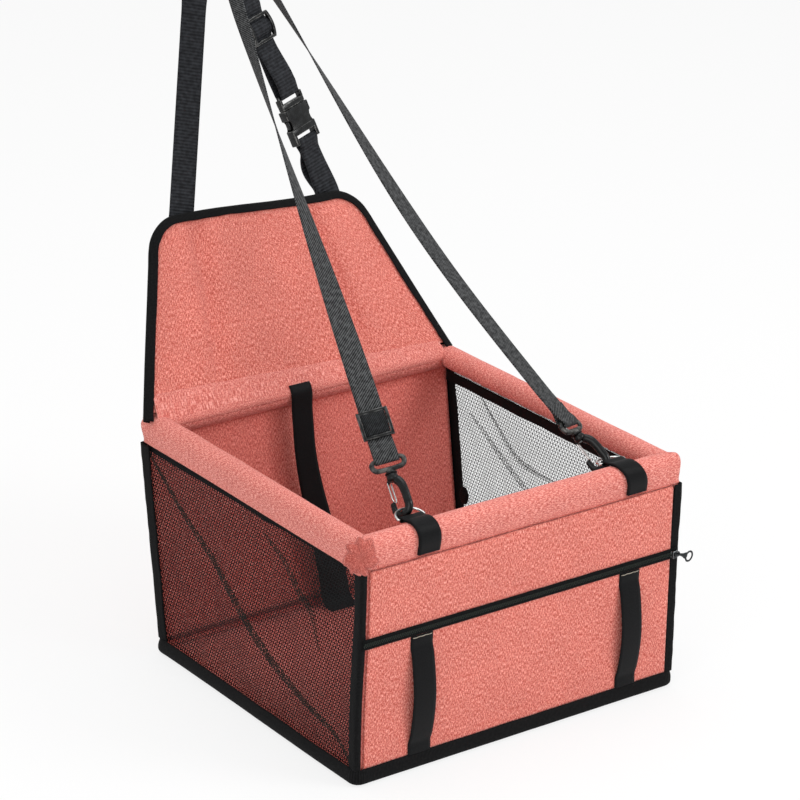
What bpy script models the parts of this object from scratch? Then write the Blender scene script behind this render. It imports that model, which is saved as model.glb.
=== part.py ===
"""Foldable dog carrier: a fabric tub with mesh sides, a tube frame in its rim, a padded backrest
and two strap loops that hang it from a car seat's headrest.

Metres. X runs along the front, Y to the back, Z up. The origin is on the underside, below the
middle of the rim. Each object is one piece. What moves has its origin on its joint's axis.
"""

import math

import bmesh
import bpy
from mathutils import Matrix, Vector

# Clearance between pieces that touch
GAP = 0.0003

# Tub: outer faces of its walls, and how far the back wall's foot stands forward of its top
TUB_WIDTH = 0.400
TUB_DEPTH = 0.400
BACK_FOOT_INSET = 0.035
WALL_HEIGHT = 0.228
BOARD = 0.004
CLOTH = 0.0022
FLOOR_THICKNESS = 0.006

# Mesh sides: strands of the net, and its counts of squares
NET_STRAND = 0.0022
NET_ROWS = 9
NET_COLUMNS = 13

# Rim sleeves, and the tubes and elbows inside them
SLEEVE_RADIUS = 0.013
SLEEVE_DROP = 0.020
SLEEVE_INSET = 0.011
SLEEVE_SEAM_OUT = 0.010
SLEEVE_CLOTH = 0.0020
TUBE_RADIUS = 0.0073
TUBE_WALL = 0.0014
ELBOW_RADIUS = 0.0089
ELBOW_BEND = 0.0100
ELBOW_SOCKET = 0.022

# Black binding: legs on the upright corners, the band round the foot, the strip on the mesh
BINDING = 0.0024
CORNER_FRONT_LEG = 0.0075
CORNER_SIDE_LEG = 0.0095
FOOT_BAND = 0.0130
MESH_STRIP = 0.0150
MESH_STRIP_THICKNESS = 0.0015

# Zip: height of its line, its tape, coil, slider and pull
ZIP_HEIGHT = 0.151
ZIP_TAPE_WIDTH = 0.011
ZIP_TAPE = 0.0011
COIL_WIDTH = 0.0042
COIL_HEIGHT = 0.0016
SLIDER_LENGTH = 0.0085
SLIDER_WIDTH = 0.0078
SLIDER_PLATE = 0.0012
BRIDGE_RISE = 0.0030
BRIDGE_BAR = 0.0010
BRIDGE_WIDTH = 0.0018
BRIDGE_LENGTH = 0.0060
PULL_BAR = 0.0145
PULL_THICKNESS = 0.0011
PULL_EYE_RADIUS = 0.0029
PULL_EYE_HOLE = 0.0017
PULL_RING_RADIUS = 0.0042

# Webbing loops on the pocket, for a seat belt: their places in from the left and right sides
LOOP_INSET = (0.071, 0.063)
LOOP_WIDTH = 0.026
LOOP_WEBBING = 0.0014
LOOP_SEWN = 0.012
LOOP_BULGE = 0.0085

# Tabs round the front rim, in from the left and right sides, and the D-rings that they hold
TAB_INSET = (0.0755, 0.069)
TAB_WIDTH = 0.028
TAB_WEBBING = 0.0012
TAB_FROM = -34.0
TAB_TO = 112.0
RING_WIRE = 0.0013
RING_RISE = 0.015
RING_BAR_BACK = 0.0140
RING_BAR_ABOVE = -0.0010

# How far each ring leans above level, and how far off its middle the hook has slid
RING_LEAN = (12.0, -10.0)
HOOK_SLIDE = (0.0, -0.0065)

# Backrest: a padded panel that leans back from the rear rim. Its foot is a little narrower than
# the tub, and each side slopes in by the taper.
BACKREST_LEAN = 31.0
BACKREST_HEIGHT = 0.187
BACKREST_INSET = 0.0015
BACKREST_TAPER = 0.0685
BACKREST_CORNER = 0.028
BACKREST_THICKNESS = 0.0060
BACKREST_FOLD = 0.0022
BACKREST_FOLDS = 3.0
FOLD_RISE = 0.040
BINDING_FROM = 0.008
EDGE_BINDING_WIDTH = 0.0110
EDGE_BINDING = 0.0014

# Where the headrest holds the two strap loops, and how far each loop's top stands off that point
HEADREST = Vector((0.0, 0.391, 0.762))
FRONT_OFFSET = Vector((-0.010, -0.015, 0.004))
REAR_OFFSET = Vector((0.010, 0.015, -0.004))
APEX_BEND = 0.011
BEND_LEAD = 0.9

# Front strap, its adjuster, and the hooks' places, measured up the strand from the ring's bar
FRONT_WIDTH = 0.025
WEBBING = 0.0014
FRONT_SAG = 0.014
EYE_BAR_AT = 0.0705
ADJUSTER_AT = 0.1100
SEWN_END = 0.026
STRAP_LEAD = 0.012
LEFT_EYE_TURN = -27.0
RIGHT_EYE_TURN = 18.0

# Snap hook: bar, bend, head, wire gate and swivel eye
HOOK_TURN = (115.0, 125.0)
HOOK_BAR = 0.0037
HOOK_BEND = 0.0090
HOOK_HEAD_AT = 0.0505
HOOK_HEAD_RADIUS = 0.0056
HOOK_HEAD_LENGTH = 0.0090
HOOK_SHOULDER = ((0.0015, 0.0015), (0.0055, -0.0015), (0.0082, -0.0060))
HOOK_TAPER = (0.94, 0.86, 0.76, 0.62, 0.62)
NOSE_RISE = 0.0080
LUG_OUT = 0.0016
LUG_DEPTH = 0.0062
LUG_DROP = 0.0022
LUG_HEIGHT = 0.0052
GATE_WIRE = 0.0006
GATE_HALF_SPREAD = 0.0030
GATE_TOP_AT = 0.0460
GATE_OFF_HEAD = 0.0004
GATE_BELOW_NOSE = 0.0012
EYE_WIRE = 0.0024
EYE_WIDTH = 0.0330
EYE_DEPTH = 0.0112
EYE_CORNER = 0.0048
EYE_PIN_RADIUS = 0.0019
EYE_BOSS_RADIUS = 0.0034

# Rear strap: webbing, its places in from the backrest's top corners, and the twist of its right
# side. The doubled lower strap has some slack in its back layer.
REAR_WIDTH = 0.030
REAR_INSET = (0.038, 0.030)
REAR_SEWN = 0.030
REAR_RIGHT_TURN = -20.0
BUCKLE_AT = 0.0620
LOWER_SLACK = 0.0060
REAR_SLIDER_AT = 0.1950

# Strap slides: the front adjuster and the rear slider
GLIDE_LENGTH = 0.031
GLIDE_THICKNESS = 0.0026
GLIDE_CROWN = 0.0028
GLIDE_RAIL = 0.0036
GLIDE_BAR = 0.0050
GLIDE_FRAME = 0.0030
GLIDE_CLEARANCE = 0.0005

# Side-release buckle
BUCKLE_THICKNESS = 0.0100
BUCKLE_SIDE = 0.0045
SOCKET_FOOT = 0.0120
SOCKET_BODY = 0.0290
SOCKET_WALL = 0.0016
BUCKLE_BAR = 0.0040
BAR_FLATNESS = 0.5
WINDOW_FROM = 0.0060
WINDOW_LENGTH = 0.0120
WAIST_DEPTH = 0.0020
WAIST_RADIUS = 0.0140
PLUG_BASE = 0.0065
PLUG_SLOT = 0.0065
PLUG_BAR = 0.0045
PLUG_INSET = 0.0012
PLUG_CORNER = 0.0070
TONGUE_WIDTH = 0.0080
ARM_THICKNESS = 0.0026
ARM_LENGTH = 0.0225

# Tether strap inside, on the back wall
TETHER_X = -0.006
TETHER_WIDTH = 0.026
TETHER_WEBBING = 0.0014
TETHER_FROM = 128.0
TETHER_STAND_OFF = 0.016
TETHER_ON_FLOOR = 0.050

HALF_WIDTH = TUB_WIDTH / 2
HALF_DEPTH = TUB_DEPTH / 2
LOOP_X = (LOOP_INSET[0] - HALF_WIDTH, HALF_WIDTH - LOOP_INSET[1])
TAB_X = (TAB_INSET[0] - HALF_WIDTH, HALF_WIDTH - TAB_INSET[1])
BACKREST_FOOT_HALF = HALF_WIDTH - BACKREST_INSET
BACKREST_TOP_HALF = BACKREST_FOOT_HALF - BACKREST_TAPER
REAR_X = (REAR_INSET[0] - BACKREST_TOP_HALF, BACKREST_TOP_HALF - REAR_INSET[1])
FRONT_APEX = HEADREST + FRONT_OFFSET
REAR_APEX = HEADREST + REAR_OFFSET
WALL_TOP = WALL_HEIGHT - GAP
RIM_AXIS = WALL_HEIGHT + SLEEVE_DROP
RIM_TOP = RIM_AXIS + SLEEVE_RADIUS
NET_INNER = HALF_WIDTH - 2 * GAP - NET_STRAND
HINGE_HEIGHT = RIM_TOP + GAP + BACKREST_THICKNESS / 2 + BACKREST_FOLD
HINGE = Vector((0, HALF_DEPTH - SLEEVE_INSET, HINGE_HEIGHT))
HALF_PAD = BACKREST_THICKNESS / 2
BACKREST_FOOT = math.sqrt((HALF_PAD + BACKREST_FOLD) ** 2 - HALF_PAD**2)

PALETTE = {
    "coral_cloth": ("#E8786A", 0.92, 0.0),
    "black_binding": ("#17191B", 0.80, 0.0),
    "black_net": ("#1B1D1F", 0.75, 0.0),
    "grey_webbing": ("#4C4F52", 0.70, 0.0),
    "black_webbing": ("#2A2C2F", 0.75, 0.0),
    "black_plastic": ("#141516", 0.38, 0.0),
    "bright_wire": ("#C9CCCE", 0.22, 1.0),
    "grey_tube": ("#C9C9C6", 0.45, 0.0),
}


def clear_scene():
    for obj in list(bpy.data.objects):
        bpy.data.objects.remove(obj, do_unlink=True)


def make_collection(name):
    collection = bpy.data.collections.new(name)
    bpy.context.scene.collection.children.link(collection)
    return collection


def linear(hex_colour):
    """A colour written as sRGB hex, as linear RGB."""
    channels = [int(hex_colour[i : i + 2], 16) / 255 for i in (1, 3, 5)]
    return [c / 12.92 if c <= 0.04045 else ((c + 0.055) / 1.055) ** 2.4 for c in channels]


def make_material(node, slot):
    colour, roughness, metallic = PALETTE[slot]
    material = bpy.data.materials.new(f"{node}_{slot}")
    material.use_nodes = True
    shader = material.node_tree.nodes["Principled BSDF"]
    shader.inputs["Base Color"].default_value = (*linear(colour), 1)
    shader.inputs["Roughness"].default_value = roughness
    shader.inputs["Metallic"].default_value = metallic
    material.diffuse_color = (*linear(colour), 1)
    return material


def add(name, data, slot, place=None):
    """Puts one piece in the carrier's collection, with its own material, at its place."""
    obj = bpy.data.objects.new(name, data)
    if slot:
        data.materials.append(make_material(name, slot))
        CARRIER.objects.link(obj)
    else:
        obj.hide_render = True
        obj.display_type = "WIRE"
        CUTTERS.objects.link(obj)
    obj.matrix_world = place or Matrix.Identity(4)
    return obj


def finish_mesh(name, bm, smooth=None):
    bmesh.ops.recalc_face_normals(bm, faces=bm.faces)
    mesh = bpy.data.meshes.new(name)
    bm.to_mesh(mesh)
    bm.free()
    if smooth:
        mesh.shade_smooth()
        mesh.set_sharp_from_angle(angle=math.radians(smooth))
    return mesh


def bevel(obj, width, segments=2):
    modifier = obj.modifiers.new("rounded_edges", "BEVEL")
    modifier.width = width
    modifier.segments = segments
    modifier.limit_method = "ANGLE"
    return obj


def boolean(obj, other, operation):
    modifier = obj.modifiers.new(f"{operation.lower()}_{other.name}", "BOOLEAN")
    modifier.operation = operation
    modifier.object = other
    return obj


def box(name, low, high, slot, place=None):
    """A box between two corners, in the frame of its place."""
    low, high = Vector(low), Vector(high)
    bm = bmesh.new()
    bmesh.ops.create_cube(bm, size=1)
    bmesh.ops.scale(bm, vec=high - low, verts=bm.verts)
    bmesh.ops.translate(bm, vec=(low + high) / 2, verts=bm.verts)
    return add(name, finish_mesh(name, bm), slot, place)


def rod(name, radius, low, high, slot, place=None, segments=20):
    """A round rod along Z, between two heights, in the frame of its place."""
    bm = bmesh.new()
    bmesh.ops.create_cone(
        bm, cap_ends=True, segments=segments, radius1=radius, radius2=radius, depth=high - low
    )
    bmesh.ops.translate(bm, vec=(0, 0, (low + high) / 2), verts=bm.verts)
    return add(name, finish_mesh(name, bm, 40), slot, place)


def loft(name, loops, slot, place=None, closed=False, smooth=35):
    """A solid through loops of points. Its ends are capped, unless the loops close on themselves."""
    bm = bmesh.new()
    rings = [[bm.verts.new(point) for point in loop] for loop in loops]
    pairs = list(zip(rings, rings[1:]))
    if closed:
        pairs.append((rings[-1], rings[0]))
    else:
        bm.faces.new(reversed(rings[0]))
        bm.faces.new(rings[-1])
    for near, far in pairs:
        for i, corner in enumerate(near):
            j = (i + 1) % len(near)
            bm.faces.new((corner, near[j], far[j], far[i]))
    return add(name, finish_mesh(name, bm, smooth), slot, place)


def sheet(name, grid, thickness, slot, place=None):
    """A sheet of even thickness, on both sides of a grid of points."""
    bm = bmesh.new()
    rows = [[bm.verts.new(point) for point in row] for row in grid]
    for low, high in zip(rows, rows[1:]):
        for i in range(len(low) - 1):
            bm.faces.new((low[i], low[i + 1], high[i + 1], high[i]))
    obj = add(name, finish_mesh(name, bm, 50), slot, place)
    modifier = obj.modifiers.new("thickness", "SOLIDIFY")
    modifier.thickness = thickness
    modifier.offset = 0
    modifier.use_even_offset = True
    return obj


def plate(name, outlines, thickness, slot, place=None):
    """A flat plate in its frame's XZ plane, from an outline and the outlines of its holes."""
    curve = bpy.data.curves.new(name, "CURVE")
    curve.dimensions = "2D"
    curve.fill_mode = "BOTH"
    curve.extrude = thickness / 2
    for outline in outlines:
        spline = curve.splines.new("POLY")
        spline.points.add(len(outline) - 1)
        spline.use_cyclic_u = True
        for point, (x, z) in zip(spline.points, outline):
            point.co = (x, z, 0, 1)
    upright = Matrix.Rotation(math.radians(90), 4, "X")
    return add(name, curve, slot, (place or Matrix.Identity(4)) @ upright)


def wire(name, points, radius, slot, place=None, closed=False, sides=2, radii=None):
    """A round wire through points, with filled ends unless it closes on itself."""
    curve = bpy.data.curves.new(name, "CURVE")
    curve.dimensions = "3D"
    curve.bevel_depth = radius
    curve.bevel_resolution = sides
    curve.use_fill_caps = not closed
    curve.twist_mode = "MINIMUM"
    spline = curve.splines.new("POLY")
    spline.points.add(len(points) - 1)
    spline.use_cyclic_u = closed
    for i, (point, spot) in enumerate(zip(spline.points, points)):
        point.co = (*spot, 1)
        point.radius = radii[i] if radii else 1
    return add(name, curve, slot, place)


def as_mesh(obj):
    """The same piece as a mesh with welded caps, so that Booleans can cut it or join to it."""
    bpy.context.view_layer.update()
    graph = bpy.context.evaluated_depsgraph_get()
    mesh = bpy.data.meshes.new_from_object(obj.evaluated_get(graph))
    bm = bmesh.new()
    bm.from_mesh(mesh)
    bmesh.ops.remove_doubles(bm, verts=bm.verts, dist=1e-6)
    bmesh.ops.recalc_face_normals(bm, faces=bm.faces)
    bm.to_mesh(mesh)
    bm.free()
    name, place, home = obj.name, obj.matrix_world.copy(), obj.users_collection[0]
    bpy.data.objects.remove(obj, do_unlink=True)
    solid = bpy.data.objects.new(name, mesh)
    home.objects.link(solid)
    solid.matrix_world = place
    if home == CUTTERS:
        solid.hide_render = True
        solid.display_type = "WIRE"
    mesh.shade_smooth()
    mesh.set_sharp_from_angle(angle=math.radians(40))
    return solid


def arc(centre, radius, start, end, steps):
    """Points of an arc in a plane, by angles in degrees."""
    angles = [math.radians(start + (end - start) * i / steps) for i in range(steps + 1)]
    return [(centre[0] + radius * math.cos(a), centre[1] + radius * math.sin(a)) for a in angles]


def rounded_box(half_x, low, high, radius, steps=3):
    """The outline of a rounded rectangle, centred on X = 0."""
    corners = ((half_x, low, -90), (half_x, high, 0), (-half_x, high, 90), (-half_x, low, 180))
    outline = []
    for x, z, start in corners:
        centre = (x - math.copysign(radius, x), z + (radius if z == low else -radius))
        outline += arc(centre, radius, start, start + 90, steps)
    return outline


def smooth_step(value, start, end):
    """0 before start, 1 after end, and eased between them."""
    t = min(max((value - start) / (end - start), 0), 1)
    return t * t * (3 - 2 * t)


def frame_of(origin, across, along):
    """A placing matrix: X across, Z along, Y square to both."""
    along = along.normalized()
    across = (across - across.dot(along) * along).normalized()
    normal = along.cross(across)
    place = Matrix((across, normal, along)).transposed().to_4x4()
    place.translation = origin
    return place


def back_face(height):
    """Y of the back wall's outer face, which slopes forward to its foot."""
    return HALF_DEPTH - BACK_FOOT_INSET * (1 - height / WALL_HEIGHT)


def build_walls():
    """Floor, the board-lined front wall, its two outer cloth panels and the back wall."""
    front = -HALF_DEPTH
    inner_half = NET_INNER - GAP
    floor_back = back_face(0) - BOARD - 2 * GAP
    box(
        "floor_panel",
        (-inner_half, front + BOARD + 2 * GAP, 0),
        (inner_half, floor_back, FLOOR_THICKNESS),
        "coral_cloth",
    )
    box(
        "front_wall",
        (-inner_half, front + GAP, GAP),
        (inner_half, front + GAP + BOARD, WALL_TOP),
        "coral_cloth",
    )
    panel_half = HALF_WIDTH - CORNER_FRONT_LEG - GAP
    for name, low, high in (
        ("upper_front_panel", ZIP_HEIGHT + GAP / 2, WALL_TOP),
        ("pocket_panel", FOOT_BAND + GAP, ZIP_HEIGHT - GAP / 2),
    ):
        obj = box(name, (-panel_half, front - CLOTH, low), (panel_half, front, high), "coral_cloth")
        bevel(obj, CLOTH / 4, 1)
    rows = []
    for height in (GAP, WALL_TOP):
        outer = back_face(height) - GAP
        rows.append(
            [
                (-inner_half, outer - BOARD, height),
                (inner_half, outer - BOARD, height),
                (inner_half, outer, height),
                (-inner_half, outer, height),
            ]
        )
    loft("back_wall", rows, "coral_cloth")


def build_net(side, name):
    """A see-through net that fills one side, as a lattice of strands on a sloped-back grid."""
    x = side * (HALF_WIDTH - GAP - NET_STRAND / 2)
    margin = GAP + NET_STRAND / 2
    bm = bmesh.new()
    rows = []
    for i in range(NET_ROWS + 1):
        height = margin + (WALL_HEIGHT - 2 * margin) * i / NET_ROWS
        start, end = -HALF_DEPTH + margin, back_face(height) - margin
        ys = [start + (end - start) * j / NET_COLUMNS for j in range(NET_COLUMNS + 1)]
        rows.append([bm.verts.new((x, y, height)) for y in ys])
    for low, high in zip(rows, rows[1:]):
        for j in range(NET_COLUMNS):
            bm.faces.new((low[j], low[j + 1], high[j + 1], high[j]))
    obj = add(name, finish_mesh(name, bm), "black_net")
    modifier = obj.modifiers.new("strands", "WIREFRAME")
    modifier.thickness = NET_STRAND
    modifier.use_even_offset = False
    modifier.use_boundary = True
    modifier.use_replace = True


def sleeve_section(offset):
    """The rim sleeve's outline round the tube's axis: round above, drawn in to its seam below."""
    radius = SLEEVE_RADIUS - offset
    steps = 20
    points = []
    for i in range(steps):
        angle = 2 * math.pi * i / steps
        out, up = math.cos(angle), math.sin(angle)
        if up >= 0:
            points.append((radius * out, radius * up))
        else:
            narrowing = 1 - 0.8 * up * up
            points.append(
                (radius * out * narrowing + SLEEVE_SEAM_OUT * up * up, (SLEEVE_DROP - offset) * up)
            )
    return points


def rim_place(direction, distance):
    """The frame of one rim side: X along it, Y pointing out of the tub."""
    turn = Matrix.Rotation(math.radians(direction), 4, "Z")
    return turn @ Matrix.Translation((0, distance, RIM_AXIS))


RIM_SIDES = {
    "front": (180, HALF_DEPTH - SLEEVE_INSET, HALF_WIDTH - SLEEVE_INSET),
    "rear": (0, HALF_DEPTH - SLEEVE_INSET, HALF_WIDTH - SLEEVE_INSET),
    "left": (90, HALF_WIDTH - SLEEVE_INSET, HALF_DEPTH - SLEEVE_INSET),
    "right": (-90, HALF_WIDTH - SLEEVE_INSET, HALF_DEPTH - SLEEVE_INSET),
}


def build_rim():
    """Four mitred sleeves, with a tube in each."""
    for side, (direction, distance, half_length) in RIM_SIDES.items():
        place = rim_place(direction, distance)
        outer, inner = sleeve_section(0), sleeve_section(SLEEVE_CLOTH)
        loops = []
        for section, end in ((outer, -1), (outer, 1), (inner, 1), (inner, -1)):
            loops.append([(end * (half_length + out - GAP), out, up) for out, up in section])
        loft(f"rim_sleeve_{side}", loops, "coral_cloth", place, closed=True)
        reach = half_length - ELBOW_BEND - GAP
        along_x = place @ Matrix.Rotation(math.radians(90), 4, "Y")
        tube = rod(f"rim_tube_{side}", TUBE_RADIUS, -reach, reach, "grey_tube", along_x, 24)
        past = reach + ELBOW_SOCKET
        bore = rod(f"bore_{side}", TUBE_RADIUS - TUBE_WALL, -past, past, None, along_x, 24)
        boolean(tube, bore, "DIFFERENCE")


CORNERS = {
    "front_left": (-1, -1),
    "front_right": (1, -1),
    "rear_left": (-1, 1),
    "rear_right": (1, 1),
}


def elbow_route(sign_x, sign_y, length):
    """Points along an elbow's axis: a straight end, the bend and the other straight end."""
    bend = [(ELBOW_BEND - x, ELBOW_BEND - y) for x, y in arc((0, 0), ELBOW_BEND, 0, 90, 6)]
    path = [(0, length)] + bend + [(length, 0)]
    corner_x, corner_y = HALF_WIDTH - SLEEVE_INSET, HALF_DEPTH - SLEEVE_INSET
    return [(sign_x * (corner_x - x), sign_y * (corner_y - y), RIM_AXIS) for x, y in path]


def build_elbows():
    """An elbow at each rim corner: a bent pipe whose sockets take the tubes' ends."""
    reach = ELBOW_BEND + ELBOW_SOCKET
    bore_radius = TUBE_RADIUS + 2 * GAP
    for name, signs in CORNERS.items():
        route, bore_route = elbow_route(*signs, reach), elbow_route(*signs, reach + ELBOW_BEND)
        elbow = wire(f"rim_elbow_{name}", route, ELBOW_RADIUS, "grey_tube", sides=4)
        bore = wire(f"elbow_bore_{name}", bore_route, bore_radius, None, sides=4)
        boolean(as_mesh(elbow), as_mesh(bore), "DIFFERENCE")


def build_corner_bindings():
    """Upright L strips over the four corner seams. The rear ones follow the sloped back wall."""
    front_leg, side_leg, turn = CORNER_FRONT_LEG, CORNER_SIDE_LEG, BINDING
    section = [
        (-front_leg, 0),
        (-front_leg, turn),
        (turn * 0.3, turn),
        (turn * 0.8, turn * 0.8),
        (turn, turn * 0.3),
        (turn, -side_leg),
        (0, -side_leg),
        (0, 0),
    ]
    for name, (sign_x, sign_y) in CORNERS.items():
        loops = []
        for height in (FOOT_BAND + GAP, WALL_TOP):
            face = HALF_DEPTH if sign_y < 0 else back_face(height)
            loops.append(
                [(sign_x * (HALF_WIDTH + a), sign_y * (face + b), height) for a, b in section]
            )
        loft(f"corner_binding_{name}", loops, "black_binding")


def build_foot_binding():
    """The band round the foot of the walls."""
    section = [
        (0, 0),
        (BINDING, 0),
        (BINDING + 0.0006, 0.001),
        (BINDING + 0.0006, FOOT_BAND - 0.001),
        (BINDING, FOOT_BAND),
        (0, FOOT_BAND),
    ]
    back = back_face(0) + BACK_FOOT_INSET * FOOT_BAND / WALL_HEIGHT
    loops = []
    for sign_x, sign_y in ((-1, -1), (1, -1), (1, 1), (-1, 1)):
        face = HALF_DEPTH if sign_y < 0 else back
        loops.append([(sign_x * (HALF_WIDTH + a), sign_y * (face + a), z) for a, z in section])
    loft("foot_binding", loops, "black_binding", closed=True)


def build_mesh_strips():
    """Flat binding inside, along the top of each mesh."""
    for name, side in (("left", -1), ("right", 1)):
        outer = side * (NET_INNER - GAP)
        inner = outer - side * MESH_STRIP_THICKNESS
        low = WALL_TOP - MESH_STRIP
        box(
            f"mesh_binding_{name}",
            (min(outer, inner), -HALF_DEPTH + BOARD + 2 * GAP, low),
            (max(outer, inner), back_face(low) - BOARD - 2 * GAP, WALL_TOP),
            "black_binding",
        )


def build_zip():
    """Tape and coil in one strip, the slider that runs on the coil, and its pull."""
    tape_back = -HALF_DEPTH - max(CLOTH, BINDING) - GAP
    tape_front = tape_back - ZIP_TAPE
    low, high = ZIP_HEIGHT - ZIP_TAPE_WIDTH / 2, ZIP_HEIGHT + ZIP_TAPE_WIDTH / 2
    half_coil = COIL_WIDTH / 2
    coil_front = tape_front - COIL_HEIGHT
    section = [
        (tape_back, low),
        (tape_front, low),
        (tape_front, ZIP_HEIGHT - half_coil),
        (coil_front, ZIP_HEIGHT - half_coil * 0.5),
        (coil_front, ZIP_HEIGHT + half_coil * 0.5),
        (tape_front, ZIP_HEIGHT + half_coil),
        (tape_front, high),
        (tape_back, high),
    ]
    loops = [[(x, y, z) for y, z in section] for x in (-HALF_WIDTH, HALF_WIDTH)]
    loft("zip_tape", loops, "black_binding")

    plate_back = coil_front - GAP
    plate_front = plate_back - SLIDER_PLATE
    centre_x = HALF_WIDTH - SLIDER_LENGTH / 2
    place = Matrix.Translation((centre_x, 0, ZIP_HEIGHT))
    half_length, half_width = SLIDER_LENGTH / 2, SLIDER_WIDTH / 2
    slider = box(
        "zip_slider",
        (-half_length, plate_front, -half_width),
        (half_length, tape_front - GAP, half_width),
        "black_plastic",
        place,
    )
    channel = box(
        "slider_channel",
        (-SLIDER_LENGTH, plate_back, -half_coil - GAP),
        (SLIDER_LENGTH, tape_front + GAP, half_coil + GAP),
        None,
        place,
    )
    boolean(slider, channel, "DIFFERENCE")
    half_bridge = BRIDGE_LENGTH / 2
    bridge = box(
        "slider_bridge",
        (-half_bridge, plate_front - BRIDGE_RISE, -BRIDGE_WIDTH / 2),
        (half_bridge, plate_front + SLIDER_PLATE / 2, BRIDGE_WIDTH / 2),
        None,
        place,
    )
    under = box(
        "bridge_hole",
        (-half_bridge + BRIDGE_BAR, plate_front - BRIDGE_RISE + BRIDGE_BAR, -BRIDGE_WIDTH),
        (half_bridge - BRIDGE_BAR, plate_front, BRIDGE_WIDTH),
        None,
        place,
    )
    boolean(bridge, under, "DIFFERENCE")
    boolean(slider, bridge, "UNION")
    build_pull(centre_x, plate_front - (BRIDGE_RISE - BRIDGE_BAR) / 2)


def build_pull(pivot_x, pivot_y):
    """The zip's pull. Its eye is threaded under the slider's bridge, where its axis is."""
    eye, ring, half_bar = PULL_EYE_RADIUS, PULL_RING_RADIUS, PULL_THICKNESS
    meet_eye = math.degrees(math.asin(half_bar / eye))
    meet_ring = math.degrees(math.asin(half_bar / ring))
    eye_x = (eye + PULL_EYE_HOLE) / 2
    ring_x = eye_x + eye + PULL_BAR
    outer = arc((eye_x, 0), eye, meet_eye, 360 - meet_eye, 14)
    outer += arc((ring_x, 0), ring, 180 + meet_ring, 540 - meet_ring, 18)
    holes = [arc((eye_x, 0), PULL_EYE_HOLE, 0, 330, 11), arc((ring_x, 0), ring * 0.62, 0, 340, 17)]
    place = Matrix.Translation((pivot_x, pivot_y, ZIP_HEIGHT))
    plate("zip_pull", [outer] + holes, PULL_THICKNESS, "bright_wire", place)


def strip_outline(route, thickness):
    """A webbing strip's side outline: its route, thickened to both sides."""
    near, far = [], []
    for i, point in enumerate(route):
        before = route[max(i - 1, 0)]
        after = route[min(i + 1, len(route) - 1)]
        direction = (Vector(after) - Vector(before)).normalized()
        side = Vector((-direction.y, direction.x)) * thickness / 2
        near.append(Vector(point) + side)
        far.append(Vector(point) - side)
    return near, far


def webbing(name, route, width, centre_x, thickness, slot):
    """A webbing strip that bends in the YZ plane only."""
    near, far = strip_outline(route, thickness)
    low, high = centre_x - width / 2, centre_x + width / 2
    loops = [
        [(low, n.x, n.y), (high, n.x, n.y), (high, f.x, f.y), (low, f.x, f.y)]
        for n, f in zip(near, far)
    ]
    return loft(name, loops, slot)


def build_belt_loops():
    """Two loops on the pocket: sewn flat at both ends, standing off between them."""
    top = ZIP_HEIGHT - ZIP_TAPE_WIDTH / 2 - GAP
    bottom = FOOT_BAND + 2 * GAP
    flat = -HALF_DEPTH - CLOTH - GAP - LOOP_WEBBING / 2
    steps = 14
    route = [(flat, top)]
    for i in range(steps + 1):
        share = i / steps
        height = top - LOOP_SEWN - (top - bottom - 2 * LOOP_SEWN) * share
        stand_off = LOOP_BULGE * math.sin(math.pi * share) ** 0.75
        route.append((flat - stand_off, height))
    route.append((flat, bottom))
    for name, x in zip(("left", "right"), LOOP_X):
        webbing(f"belt_loop_{name}", route, LOOP_WIDTH, x, LOOP_WEBBING, "black_binding")


def sleeve_point(angle, offset):
    """A point round the front sleeve, in the YZ plane, by its angle up from straight out."""
    a = math.radians(angle)
    out, up = math.cos(a), math.sin(a)
    if up >= 0:
        reach, rise = (SLEEVE_RADIUS + offset) * out, (SLEEVE_RADIUS + offset) * up
    else:
        reach = SLEEVE_RADIUS * out * (1 - 0.8 * up * up) + SLEEVE_SEAM_OUT * up * up + offset
        rise = SLEEVE_DROP * up
    return (-(HALF_DEPTH - SLEEVE_INSET) - reach, RIM_AXIS + rise)


def ring_bar():
    """Y and Z of the D-rings' bars, behind the top of the front rim."""
    return (-(HALF_DEPTH - SLEEVE_INSET) + RING_BAR_BACK, RIM_TOP + RING_BAR_ABOVE)


def build_tabs():
    """Webbing tabs: from the front face over the rim, round the ring's bar and back again."""
    inner_offset = GAP + TAB_WEBBING / 2
    outer_offset = inner_offset + TAB_WEBBING + GAP
    steps = 11
    sweep = [TAB_FROM + (TAB_TO - TAB_FROM) * i / steps for i in range(steps + 1)]
    bar_y, bar_z = ring_bar()
    turn = RING_WIRE + GAP + TAB_WEBBING / 2
    route = [sleeve_point(angle, inner_offset) for angle in sweep]
    route += arc((bar_y, bar_z), turn, -80, 95, 8)
    route += [sleeve_point(angle, outer_offset) for angle in reversed(sweep)]
    for name, x in zip(("left", "right"), TAB_X):
        webbing(f"ring_tab_{name}", route, TAB_WIDTH, x, TAB_WEBBING, "black_webbing")


class Strand:
    """A run of strap that sags a little past its hardware, and the turn of its flat side."""

    def __init__(self, start, end, plane, turn, sag=0.0, straight=0.0):
        self.start, self.end = Vector(start), Vector(end)
        self.length = (self.end - self.start).length
        self.direction = (self.end - self.start) / self.length
        self.plane = plane
        self.turn = turn
        self.sag = sag
        self.straight = straight

    def at(self, distance, lift=0.0):
        """The frame at a distance up the strand: X across the webbing, Z along it."""
        share = distance / self.length
        spot = self.start + self.direction * distance
        free = max(distance - self.straight, 0) / (self.length - self.straight)
        spot.z -= 6.75 * self.sag * free * free * (1 - free)
        flat = self.plane.cross(self.direction).normalized()
        turn = math.radians(self.turn(share))
        across = flat * math.cos(turn) + self.plane * math.sin(turn)
        place = frame_of(spot, across, self.direction)
        place.translation += place.col[1].to_3d() * lift
        return place


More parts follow.
